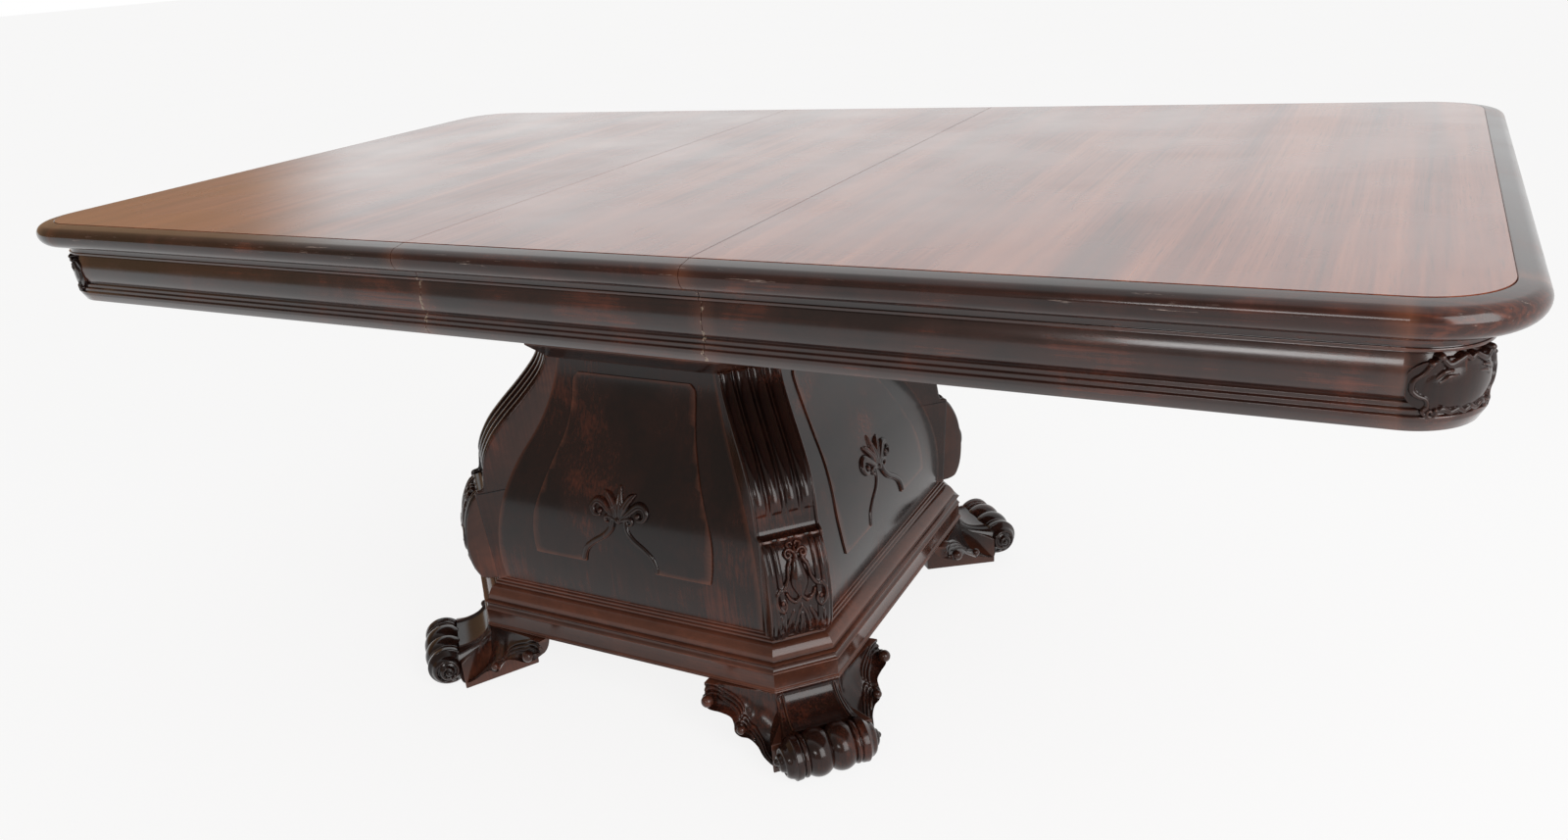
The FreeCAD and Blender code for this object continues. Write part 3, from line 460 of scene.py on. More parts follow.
@dataclass(frozen=True)
class PlanedWood:
    """Bare planed beech of slides and bearers: pale tan, dull, with fine even grain."""

    name: str
    grain: Grain
    dark: str = "#7d5c3d"
    pale: str = "#a98560"
    ring_mm: float = 7.0
    ring_long_mm: float = 420.0
    rough: float = 0.62

    def build(self) -> Material:
        """Makes the material.

        Returns:
            The finished material.
        """
        material, tree, shader, place = new_material(self.name)
        spread = drawn_out(tree, place, self.ring_long_mm, self.ring_mm, self.grain)
        rings = cloud(tree, spread, 1.0, 5.0, bend=0.3)
        set_inputs(tree, shader, {
            "Base Color": ramp(tree, rings, (0.32, self.dark), (0.68, self.pale)), "Roughness": self.rough,
            "Normal": bump(tree, rings, 0.2, 0.5 * MM)})
        return material


@dataclass(frozen=True)
class TurnedSteel:
    """Turned steel of screws and bolts: grey, with brown specks of rust."""

    name: str = "turned_steel"
    clean: str = "#8d8a86"
    rust: str = "#5a3a28"
    speck_mm: float = 3.0
    metal: float = 0.9
    rough: float = 0.45

    def build(self) -> Material:
        """Makes the material.

        Returns:
            The finished material.
        """
        material, tree, shader, place = new_material(self.name)
        specks = cloud(tree, place, 1 / (self.speck_mm * MM), 4.0)
        set_inputs(tree, shader, {
            "Base Color": ramp(tree, specks, (0.5, self.clean), (0.7, self.rust)), "Metallic": self.metal,
            "Roughness": self.rough})
        return material


@dataclass
class Finishes:
    """All finishes of the table, made once, the woods once for each way of the grain."""

    top: Material = field(init=False)
    steel: Material = field(init=False)
    dark: dict[Grain, Material] = field(default_factory=dict)
    edge: dict[Grain, Material] = field(default_factory=dict)
    apron: dict[Grain, Material] = field(default_factory=dict)
    bare: dict[Grain, Material] = field(default_factory=dict)

    def __post_init__(self) -> None:
        """Makes the finishes."""
        self.top = PolishedMahogany().build()
        self.steel = TurnedSteel().build()
        for grain in Grain:
            word = grain.name.lower()
            self.dark[grain] = DarkVarnish(f"dark_varnish_{word}", grain).build()
            # The edge's finish also paints a highlight with its scuffs along the nose.
            self.edge[grain] = DarkVarnish(
                f"scuffed_and_highlit_varnish_{word}", grain, "#1d0e0a", "#341912", "#6a3522", "#935535", scuffed_and_highlit=True,
                shine=0.34, coat=0.3, rough=(0.13, 0.24)).build()
            self.apron[grain] = DarkVarnish(
                f"chipped_varnish_{word}", grain, "#1b0d0a", "#301710", "#64301f", chipped=True, shine=0.45,
                coat=0.5).build()
            self.bare[grain] = PlanedWood(f"planed_wood_{word}", grain).build()


def trace(points: Sequence[Sequence[float]], count: int = 48) -> np.ndarray:
    """Draws a smooth line through points.

    Args:
        points: Points that the line passes through.
        count: Number of points on the line.

    Returns:
        Points along the line, one in each row.
    """
    knots = np.array(points, float)
    padded = np.vstack((2 * knots[0] - knots[1], knots, 2 * knots[-1] - knots[-2]))
    along = np.linspace(0, len(knots) - 1, count)
    first = np.minimum(along.astype(int), len(knots) - 2)
    part = (along - first)[:, None]
    a, b, c, d = (padded[first + step] for step in range(4))
    return 0.5 * (2 * b + (c - a) * part + (2 * a - 5 * b + 4 * c - d) * part ** 2
                  + (3 * b - a - 3 * c + d) * part ** 3)


def volute(center: Point, radius: float, turns: float, start: float, hand: int) -> tuple[Point, ...]:
    """Points of a scroll that winds in to its eye.

    Args:
        center: Middle of the eye.
        radius: Radius where the scroll starts.
        turns: Number of turns.
        start: Angle where the scroll starts, in degrees.
        hand: 1 to wind to the left, -1 to wind to the right.

    Returns:
        Points from the outside to the eye.
    """
    points = []
    for share in np.linspace(0, 1, round(turns * TURN_STEPS) + 1):
        angle = math.radians(start + hand * 360 * turns * share)
        reach = radius * (1 - WIND * share)
        points.append((center[0] + reach * math.cos(angle), center[1] + reach * math.sin(angle)))
    return tuple(points)


@dataclass(frozen=True)
class Stroke:
    """One carved ridge, in millimetres: its line, its half width along the line, its rise and its vein."""

    points: tuple[Point, ...]
    halves: tuple[float, ...]
    rise: float
    vein: float = 0.0
    paired: bool = True

    def height(self, spots: np.ndarray) -> np.ndarray:
        """Height of the ridge at places on the ground.

        Args:
            spots: Places, one in each row.

        Returns:
            Height at each place, 0 beside the ridge.
        """
        line = trace(self.points)
        half = np.interp(np.linspace(0, 1, len(line)), np.linspace(0, 1, len(self.halves)), self.halves)
        reach = half.max()
        result = np.zeros(len(spots))
        near = np.all((spots > line.min(0) - reach) & (spots < line.max(0) + reach), axis=1)
        if not near.any():
            return result
        run = np.diff(line, axis=0)
        gap = spots[near][:, None, :] - line[:-1]
        share = np.clip((gap * run).sum(-1) / np.maximum((run ** 2).sum(-1), TINY), 0, 1)
        away = np.linalg.norm(gap - share[..., None] * run, axis=-1)
        wide = np.maximum(half[:-1] + share * np.diff(half), TINY)
        pick = (away / wide).argmin(axis=1)
        row = np.arange(len(pick))
        off = away[row, pick] / wide[row, pick]
        dome = np.sqrt(np.clip(1 - off ** 2, 0, 1)) - self.vein * np.exp(-(off / VEIN_HALF) ** 2)
        result[near] = np.where(off < 1, self.rise * np.sqrt(wide[row, pick] / reach) * dome, 0)
        return result


def boss(across: float, up: float, radius: float, rise: float, paired: bool = True) -> Stroke:
    """Makes a round boss, as a ridge of hardly any length.

    Args:
        across: Place of its middle across the carving.
        up: Place of its middle up the carving.
        radius: Its radius.
        rise: Its rise.
        paired: Whether it stands left and right of the carving's middle.

    Returns:
        The boss.
    """
    return Stroke(((across, up), (across + 0.1, up)), (radius, radius), rise, paired=paired)


@dataclass(frozen=True)
class Relief:
    """A carving made of ridges, alike left and right of its middle where they are paired."""

    strokes: tuple[Stroke, ...]

    def height(self, across: np.ndarray, up: np.ndarray) -> np.ndarray:
        """Height of the carving.

        Args:
            across: Places across the carving in millimetres.
            up: Places up the carving in millimetres.

        Returns:
            Height at each place.
        """
        best = np.zeros(len(across))
        for stroke in self.strokes:
            for hand in (1, -1) if stroke.paired else (1,):
                spots = np.stack((across * hand, up), axis=-1)
                best = np.maximum(best, stroke.height(spots))
        return best


def sheet(bm: BMesh, across: int, along: int,
          place: Callable[[np.ndarray, np.ndarray], Iterable[Sequence[float]]]) -> None:
    """Adds a grid and lays it on a surface.

    Args:
        bm: Mesh that gets the grid.
        across: Number of columns.
        along: Number of rows.
        place: Gives the points for shares from 0 to 1 across and along.
    """
    verts = bmesh.ops.create_grid(bm, x_segments=across, y_segments=along, size=0.5)["verts"]
    flat = np.array([vert.co[:2] for vert in verts])
    flat = (flat - flat.min(0)) / (flat.max(0) - flat.min(0))
    for vert, spot in zip(verts, place(flat[:, 0], flat[:, 1])):
        vert.co = spot


def draw_back(bm: BMesh, move: Callable[[Vector], Sequence[float]]) -> None:
    """Closes an open sheet: draws its rim back and fills behind.

    Args:
        bm: Mesh with one open rim.
        move: Gives the place behind a point of the rim.
    """
    rim = [edge for edge in bm.edges if edge.is_boundary]
    drawn = bmesh.ops.extrude_edge_only(bm, edges=rim)["geom"]
    for vert in drawn:
        if isinstance(vert, BMVert):
            vert.co = move(vert.co)
    bmesh.ops.holes_fill(bm, edges=[edge for edge in drawn if isinstance(edge, BMEdge)], sides=0)


def close_ends(bm: BMesh) -> None:
    """Fills every open rim of a mesh."""
    bmesh.ops.holes_fill(bm, edges=[edge for edge in bm.edges if edge.is_boundary], sides=0)


def drawn_face(bm: BMesh, ring: list[BMVert]) -> list[BMVert]:
    """Draws a flat face out to a block.

    Args:
        bm: Mesh with the corners.
        ring: Corners of the face.

    Returns:
        The corners of the far end, still in the place of the near ones.
    """
    drawn = bmesh.ops.extrude_face_region(bm, geom=[bm.faces.new(ring)])["geom"]
    return [vert for vert in drawn if isinstance(vert, BMVert)]


def add_mesh(bm: BMesh, other: BMesh) -> None:
    """Adds one mesh to another.

    Args:
        bm: Mesh that grows.
        other: Mesh that is added; it is used up.
    """
    carrier = bpy.data.meshes.new("carrier")
    other.to_mesh(carrier)
    other.free()
    bm.from_mesh(carrier)
    bpy.data.meshes.remove(carrier)


def ease(bm: BMesh, width: float) -> None:
    """Rounds the arrises of a closed mesh.

    Args:
        bm: Mesh to round.
        width: Width of the rounding in millimetres.
    """
    bmesh.ops.recalc_face_normals(bm, faces=bm.faces)
    sharp = [edge for edge in bm.edges if len(edge.link_faces) == 2
             and edge.calc_face_angle() > math.radians(ARRIS_TURN)
             and max(len(face.verts) for face in edge.link_faces) <= END_SIDES]
    bmesh.ops.bevel(bm, geom=sharp, offset=width, offset_type="OFFSET", affect="EDGES", segments=2,
                    profile=0.5, material=-1, clamp_overlap=True)


def turned(angle: float, shift: float = 0.0) -> Matrix:
    """Turn about the upright axis after which a piece is shifted along the length.

    Args:
        angle: Angle in degrees.
        shift: Shift along the length in millimetres.

    Returns:
        The matrix.
    """
    return Matrix.Translation((shift, 0, 0)) @ Matrix.Rotation(math.radians(angle), 4, "Z")


@dataclass
class Piece:
    """A finished piece of dark wood: its node, its body, its finish and the bend of a sharp edge."""

    name: str
    node: str
    body: Body
    finish: Material
    crease: float = 40.0

    def make(self, bm: BMesh, place: Matrix) -> None:
        """Puts the piece in the frame.

        Args:
            bm: Mesh in millimetres; it is used up.
            place: Place and turn of the mesh.
        """
        bmesh.ops.transform(bm, matrix=Matrix.Scale(MM, 4) @ place, verts=bm.verts)
        bmesh.ops.recalc_face_normals(bm, faces=bm.faces)
        mesh = bpy.data.meshes.new(self.name)
        bm.to_mesh(mesh)
        bm.free()
        mesh.shade_smooth()
        mesh.set_sharp_from_angle(angle=math.radians(self.crease))
        mesh.materials.append(self.finish)
        piece = bpy.data.objects.new(self.name, mesh)
        bpy.context.scene.collection.objects.link(piece)
        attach(piece, self.body.value)
        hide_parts(self.node)
        LOG.info("%s: %d faces", self.name, len(mesh.polygons))


def rounded(corners: Sequence[tuple[float, ...]], steps: int = 10) -> list[Point]:
    """Draws a profile out of straight sides and arcs.

    Args:
        corners: (set-back, fall), or (set-back, fall, radius, side) at the end of an arc.
        steps: Number of steps in each arc.

    Returns:
        Points of the profile.
    """
    points: list[Point] = []
    before = Vector(corners[-1][:2])
    for corner in corners:
        end = Vector(corner[:2])
        if len(corner) > 2:
            radius, side = corner[2:]
            chord = end - before
            normal = Vector((-chord.y, chord.x)).normalized()
            height = math.sqrt(max(radius ** 2 - chord.length_squared / 4, 0))
            center = (before + end) / 2 + normal * height * side
            first, last = before - center, end - center
            swing = math.atan2(first.x * last.y - first.y * last.x, first.dot(last))
            for step in range(1, steps):
                points.append(tuple(center + Matrix.Rotation(swing * step / steps, 2) @ first))
        points.append(tuple(end))
        before = end
    return points


def chord_radius(run: float, rise: float) -> float:
    """Radius of an arc that starts upright and moves sideways by run over a height of rise."""
    return (run * run + rise * rise) / (2 * run)


@dataclass
class TopMouldings:
    """Moulded edge and apron of the two halves and of the leaf."""

    finishes: Finishes
    height: float = 760.0
    half_length: float = 957.0
    half_width: float = 527.0
    joint: float = 198.4
    leaf_edge: float = 197.6
    corner_radius: float = 100.0
    corner_steps: int = 20
    edge_ease: float = 0.5
    step: float = 20.0

    def profiles(self) -> tuple[list[Point], list[Point]]:
        """Returns the profiles of the moulded edge and of the apron with its three low beads."""
        edge = rounded((
            (27, 25), (27, 1.8), (25.4, 0.3), (13, 2.4), (0, 15, chord_radius(13, 12.6), -1),
            (12, 31.5, chord_radius(12, 16.5), -1), (31, 33), (31, 25)))
        apron = rounded((
            (31, 25), (31, 33), (35.5, 45, chord_radius(4.5, 12), 1), (33.5, 45), (33.5, 48), (41, 49.5),
            (35, 68, 60, -1), (40, 91.5, 30, -1), (37.6, 93), (37.6, 97), (35.2, 98.5), (35.2, 102.5),
            (32.8, 104), (32.8, 108), (37.8, 118), (56, 118), (56, 25)))
        return edge, apron

    def at(self, along: float, across: float) -> Vector:
        """Returns a point at the height of the top."""
        return Vector((along, across, self.height))

    def sweep(self, bm: BMesh, profile: list[Point], start: Vector, outward: Vector, **spin) -> None:
        """Carries the profile along the edge of the top.

        Args:
            bm: Mesh that gets the moulding.
            profile: Set-back and fall of each corner.
            start: Start of the moulding on the edge of the top.
            outward: Way that the face looks there.
            spin: What bmesh's spin needs to carry it.
        """
        ring = [bm.verts.new(start - outward * back - UP * fall) for back, fall in profile]
        loop = [bm.edges.new((vert, ring[index - 1])) for index, vert in enumerate(ring)]
        bmesh.ops.spin(bm, geom=loop, axis=UP, **spin)
        close_ends(bm)

    def straight(self, bm: BMesh, profile: list[Point], start: Vector, end: Vector, outward: Vector) -> None:
        """Adds a straight length.

        Args:
            bm: Mesh that gets the length.
            profile: Set-back and fall of each corner.
            start: Start of the length on the edge of the top.
            end: End of the length on the edge of the top.
            outward: Way that the face looks.
        """
        count = round((end - start).length / self.step)
        self.sweep(bm, profile, start, outward, cent=start, dvec=(end - start) / count, angle=0, steps=count)

    def half(self, prefix: str, body: Body, turn: float) -> None:
        """Builds the mouldings of one half, drawn at the left end.

        Args:
            prefix: Start of the names of the half's nodes.
            body: Body that the half rides on.
            turn: Turn of the half about the middle in degrees.
        """
        corner_x = -(self.half_length - self.corner_radius)
        corner_y = self.half_width - self.corner_radius
        edge, apron = self.profiles()
        for label, profile, finish in (("edge", edge, self.finishes.edge),
                                       ("apron", apron, self.finishes.apron)):
            sides, bends, end = (bmesh.new() for _ in range(3))
            for side, first in ((-1, Vector((-1, 0, 0))), (1, Vector((0, 1, 0)))):
                face = side * self.half_width
                self.straight(sides, profile, self.at(corner_x, face), self.at(-self.joint, face),
                              Vector((0, side, 0)))
                center = self.at(corner_x, side * corner_y)
                self.sweep(bends, profile, center + first * self.corner_radius, first, cent=center,
                           angle=math.radians(90), steps=self.corner_steps)
            self.straight(end, profile, self.at(-self.half_length, -corner_y),
                          self.at(-self.half_length, corner_y), Vector((-1, 0, 0)))
            for kind, bm, grain in (("sides", sides, Grain.LENGTH), ("corners", bends, Grain.LENGTH),
                                    ("end", end, Grain.WIDTH)):
                ease(bm, self.edge_ease)
                node = f"{prefix}_{label}_{kind}"
                Piece(f"{node}_moulding", node, body, finish[grain]).make(bm, turned(turn))

    def leaf(self) -> None:
        """Builds the mouldings of the leaf."""
        edge, apron = self.profiles()
        for node, profile, finish in (("leaf_edges", edge, self.finishes.edge),
                                      ("leaf_aprons", apron, self.finishes.apron)):
            bm = bmesh.new()
            for side in (-1, 1):
                face = side * self.half_width
                self.straight(bm, profile, self.at(-self.leaf_edge, face), self.at(self.leaf_edge, face),
                              Vector((0, side, 0)))
            ease(bm, self.edge_ease)
            Piece(f"{node}_moulding", node, Body.LEAF, finish[Grain.LENGTH]).make(bm, turned(0))

    def build(self) -> None:
        """Builds all mouldings of the top."""
        for prefix, body, turn in HALVES:
            self.half(prefix, body, turn)
        self.leaf()


@dataclass
class CornerCartouches:
    """Carved cartouches with a scrolled rim and a swelling middle on the rounded corners of the apron."""

    finishes: Finishes
    center: Point = (857.0, 427.0)
    radius: float = 67.0
    low: float = 652.0
    high: float = 64.0
    half_arc: float = 42.0
    # The carving's ground lies this far under the radius, and the sheet beside it this far under that.
    ground: float = 1.0
    sink: float = 12.0
    back: float = 3.0
    columns: int = 170
    rows: int = 110

    def relief(self) -> Relief:
        """Returns the carving, with its middle at half its height."""
        rim = ((25, 23), (31, 18), (37, 10), (43.5, 4), (44.5, -4), (40, -9), (33.5, -12), (32, -18),
               (35, -23), (31, -27))
        return Relief((
            Stroke(((-31, -1), (0, -2), (31, -1)), (21, 24, 25, 24, 21), 0.8, paired=False),
            Stroke(((-25, -3), (0, -4), (25, -3)), (13, 17, 18, 17, 13), 3, paired=False),
            Stroke(((38, 3), (37, -5)), (6.5, 6), 1),
            Stroke(rim, (2, 2.4, 2.2, 2.6, 2.4, 2, 2.2, 1.8), 3.4),
            boss(25.5, 24, 3.4, 4.6),
            boss(31.5, 18.5, 2.7, 4),
            Stroke(volute((29, -24), 4.5, 1.1, 150, 1), (2.2, 2, 1.5), 3.4),
            Stroke(((24, 22), (18, 17), (11, 20), (5, 23), (0, 20)), (2.2, 3.4, 2.8, 2.2, 2.4), 3.6),
            Stroke(((27, -25), (20, -21), (13, -24), (6, -22), (0, -25)), (2.2, 2.8, 2.4, 2.6, 2.2), 3.2),
            Stroke(((28, 6), (22, 11), (15, 12)), (1.4, 2.4, 1.2), 3.4),
            Stroke(((25, 2), (19, 7), (11, 8)), (1.4, 2.4, 1.2), 3.9),
        ))

    def carving(self, side: int, middle: float) -> BMesh:
        """Carves one cartouche at the left end.

        Args:
            side: -1 at the front, 1 at the back.
            middle: Way that the cartouche looks, in degrees.

        Returns:
            The closed carving.
        """
        relief = self.relief()
        axis = Vector((-self.center[0], side * self.center[1], 0))

        def place(across: np.ndarray, along: np.ndarray) -> np.ndarray:
            """Bends the carving round the corner."""
            angle = (across * 2 - 1) * math.radians(self.half_arc)
            up = (along - 0.5) * self.high
            rise = relief.height(angle * self.radius, up)
            reach = self.radius - self.ground + np.where(rise > LEAST_RISE, rise, -self.sink)
            swing = math.radians(middle) + angle
            return np.stack((axis.x + reach * np.cos(swing), axis.y + reach * np.sin(swing),
                             up + self.low + self.high / 2), axis=-1)

        def behind(spot: Vector) -> Vector:
            """Draws a point of the rim in to the back."""
            flat = Vector((spot.x, spot.y, 0)) - axis
            return axis + flat.normalized() * (self.radius - self.sink - self.back) + UP * spot.z

        bm = bmesh.new()
        sheet(bm, self.columns, self.rows, place)
        draw_back(bm, behind)
        return bm

    def build(self) -> None:
        """Builds the carvings of both halves."""
        for prefix, body, turn in HALVES:
            bm = bmesh.new()
            for side, middle in ((-1, 225), (1, 135)):
                add_mesh(bm, self.carving(side, middle))
            piece = Piece(f"{prefix}_cartouches", f"{prefix}_corner_carvings", body,
                          self.finishes.dark[Grain.UPRIGHT])
            piece.make(bm, turned(turn))


@dataclass(frozen=True)
class PedestalShape:
    """Sizes that the pieces of the pedestal share, from the pedestal's axis and the floor."""

    shift: float = -113.0
    plinth_top: float = 165.0
    plinth_low: float = 88.0
    bell_top: float = 512.0
    bulge: Point = (296.0, 204.9)
    waist: Point = (247.0, 380.1)
    neck: Point = (199.0, 551.0)
    panel_leg: float = 65.0
    post_half: float = 45.96

    def bell(self, up: np.ndarray) -> np.ndarray:
        """Distance of the body's face from the axis.

        Args:
            up: Heights above the floor.

        Returns:
            Distance at each height.
        """
        big = chord_radius(self.bulge[0] - self.waist[0], self.waist[1] - self.bulge[1])
        small = chord_radius(self.waist[0] - self.neck[0], self.neck[1] - self.waist[1])
        lower = self.bulge[0] - big + np.sqrt(np.maximum(big ** 2 - (up - self.bulge[1]) ** 2, 0))
        upper = self.neck[0] + small - np.sqrt(np.maximum(small ** 2 - (up - self.neck[1]) ** 2, 0))
        return np.where(up < self.waist[1], lower, upper)


@dataclass
class PedestalWork:
    """Work on the pedestal: its finish, its shared sizes and the way its pieces are made."""

    finishes: Finishes
    shape: PedestalShape

    def make(self, bm: BMesh, name: str, node: str, turn: float = 0.0, crease: float = 60.0,
             grain: Grain = Grain.UPRIGHT) -> None:
        """Makes a piece of the pedestal.

        Args:
            bm: Mesh about the pedestal's axis; it is used up.
            name: Name of the piece.
            node: Node that it stands for.
            turn: Turn about the axis in degrees.
            crease: Bend from which an edge is shown sharp, in degrees.
            grain: Way in which the grain runs.
        """
        piece = Piece(name, node, Body.PEDESTAL, self.finishes.dark[grain], crease)
        piece.make(bm, turned(turn, self.shape.shift))


@dataclass
class BodyPanels(PedestalWork):
    """Curved panels of the body with their raised fields and palmettes."""

    thick: float = 24.0
    panel_columns: int = 60
    panel_rows: int = 90
    field_low: float = 227.0
    field_top: float = 490.0
    field_half: float = 144.0
    field_back: float = 3.0
    # Height of the bands in which a field is bent to the panel.
    band: float = 6.0
    palm_up: float = 296.0
    palm_low: float = -68.0
    palm_high: float = 53.0
    palm_half: float = 70.0
    palm_rise: float = 2.0
    palm_sink: float = 1.5
    palm_back: float = 3.0
    palm_columns: int = 150
    palm_rows: int = 130

    def panel(self, side: str, turn: float) -> None:
        """Builds one curved panel.

        Args:
            side: Side of the body.
            turn: Turn of the side in degrees.
        """
        shape = self.shape

        def place(across: np.ndarray, along: np.ndarray) -> np.ndarray:
            """Bends the panel to the body's face."""
            up = shape.plinth_top + along * (shape.bell_top - shape.plinth_top)
            reach = shape.bell(up)
            return np.stack(((across * 2 - 1) * (reach - shape.panel_leg), -reach, up), axis=-1)

        bm = bmesh.new()
        sheet(bm, self.panel_columns, self.panel_rows, place)
        draw_back(bm, lambda spot: (spot.x - math.copysign(self.thick, spot.x), spot.y + self.thick, spot.z))
        self.make(bm, f"panel_{side}_board", f"panel_{side}", turn, crease=40)

    def outline(self) -> list[Point]:
        """Returns the right half of a raised field's outline, from the arch in its foot to its head."""
        arch = trace((
            (0, 305), (5, 303), (8.5, 296), (10.5, 283), (22, 269.5), (42, 257.5), (54, 247), (59, 237),
            (61, 227)), 36)
        side = trace((
            (153, 227), (156.5, 250), (155.5, 285), (145, 319), (128, 364), (113, 407), (107.5, 440),
            (106.5, 465), (105, 481), (97, 490)), 44)
        return [tuple(spot) for spot in np.vstack((arch, side))]

    def fields(self) -> None:
        """Builds the four raised fields with a rolled edge."""
        right = self.outline()
        left = [(-across, up) for across, up in reversed(right) if across > LEAST_GAP]
        bm = bmesh.new()
        face = bm.faces.new([bm.verts.new((across, 0, up)) for across, up in right + left])
        bmesh.ops.recalc_face_normals(bm, faces=[face])
        if face.normal.y > 0:
            face.normal_flip()
        for inset, rise in ((0.4, 1.2), (0.8, 1.2), (1.0, 1.0), (1.1, 0.7), (1.2, 0.4), (1.2, 0.0),
                            (1.2, -0.4), (1.2, -0.6), (1.2, -0.6), (1.2, -0.3)):
            bmesh.ops.inset_region(bm, faces=[face], thickness=inset, depth=0, use_even_offset=True)
            for vert in face.verts:
                vert.co.y -= rise
        draw_back(bm, lambda spot: (spot.x, self.field_back, spot.z))
        cuts = [((0, 0, up), UP) for up in np.arange(self.field_low + self.band, self.field_top, self.band)]
        cuts += [((across, 0, 0), (1, 0, 0))
                 for across in np.arange(-self.field_half, self.field_half + 1, 2 * self.band)]
        for spot, normal in cuts:
            geom = list(bm.verts) + list(bm.edges) + list(bm.faces)
            bmesh.ops.bisect_plane(bm, geom=geom, dist=0.001, plane_co=spot, plane_no=normal)
        outs = self.shape.bell(np.array([vert.co.z for vert in bm.verts]))
        for vert, out in zip(bm.verts, outs):
            vert.co.y -= out
        self.four(bm, "raised_field_boards", "raised_fields", crease=50)

    def four(self, bm: BMesh, name: str, node: str, crease: float) -> None:
        """Repeats a carving on the four sides.

        Args:
            bm: Mesh of the front's carving; it is used up.
            name: Name of the piece.
            node: Node that it stands for.
            crease: Bend from which an edge is shown sharp, in degrees.
        """
        whole = bmesh.new()
        for _ in SIDES:
            bmesh.ops.rotate(whole, verts=whole.verts, matrix=Matrix.Rotation(math.radians(90), 3, "Z"))
            add_mesh(whole, bm.copy())
        bm.free()
        self.make(whole, name, node, crease=crease)

    def palmette(self) -> Relief:
        """Returns the palmette over its ogee, up from the palmette's foot."""
        return Relief((
            Stroke(((0, 4), (0, 26), (0, 49)), (4, 8, 2.4), 7, 0.25, paired=False),
            Stroke(((3, 6), (9, 22), (18, 35), (26, 41)), (3, 6.5, 6, 2), 7, 0.25),
            Stroke(((5, 5), (18, 16), (31, 26), (41, 26), (47, 17), (42, 8), (34, 7)),
                   (3, 5.5, 6.5, 5.5, 5, 4, 3), 6.5, 0.15),
            boss(33, 13, 4.5, 6),
            Stroke(((3, 2), (14, 7), (22, 6), (23, 0), (18, -2)), (3, 4, 3.5, 2.5, 2), 5),
            boss(0, 3, 6, 7, paired=False),
            Stroke(((11, 5), (14, -9), (25, -22), (44, -34), (57, -45), (62.5, -56), (64.5, -64)),
                   (4.6, 4.4, 4.2, 4.2, 3.6), 3.4),
        ))

    def palmettes(self) -> None:
        """Builds the four palmettes with the ogee lines under them."""
        relief = self.palmette()

        def place(across: np.ndarray, along: np.ndarray) -> np.ndarray:
            """Lays the palmette on the raised field."""
            side = (across * 2 - 1) * self.palm_half
            up = self.palm_low + along * (self.palm_high - self.palm_low)
            rise = relief.height(side, up)
            out = np.where(rise > 0, self.palm_rise + rise, -self.palm_sink)
            height = up + self.palm_up
            return np.stack((side, -self.shape.bell(height) - out, height), axis=-1)

        bm = bmesh.new()
        sheet(bm, self.palm_columns, self.palm_rows, place)
        draw_back(bm, lambda spot: (spot.x, spot.y + self.palm_back, spot.z))
        self.four(bm, "palmette_carvings", "palmettes", crease=60)

    def build(self) -> None:
        """Builds panels, fields and palmettes."""
        for side, turn in SIDES:
            self.panel(side, turn)
        self.fields()
        self.palmettes()


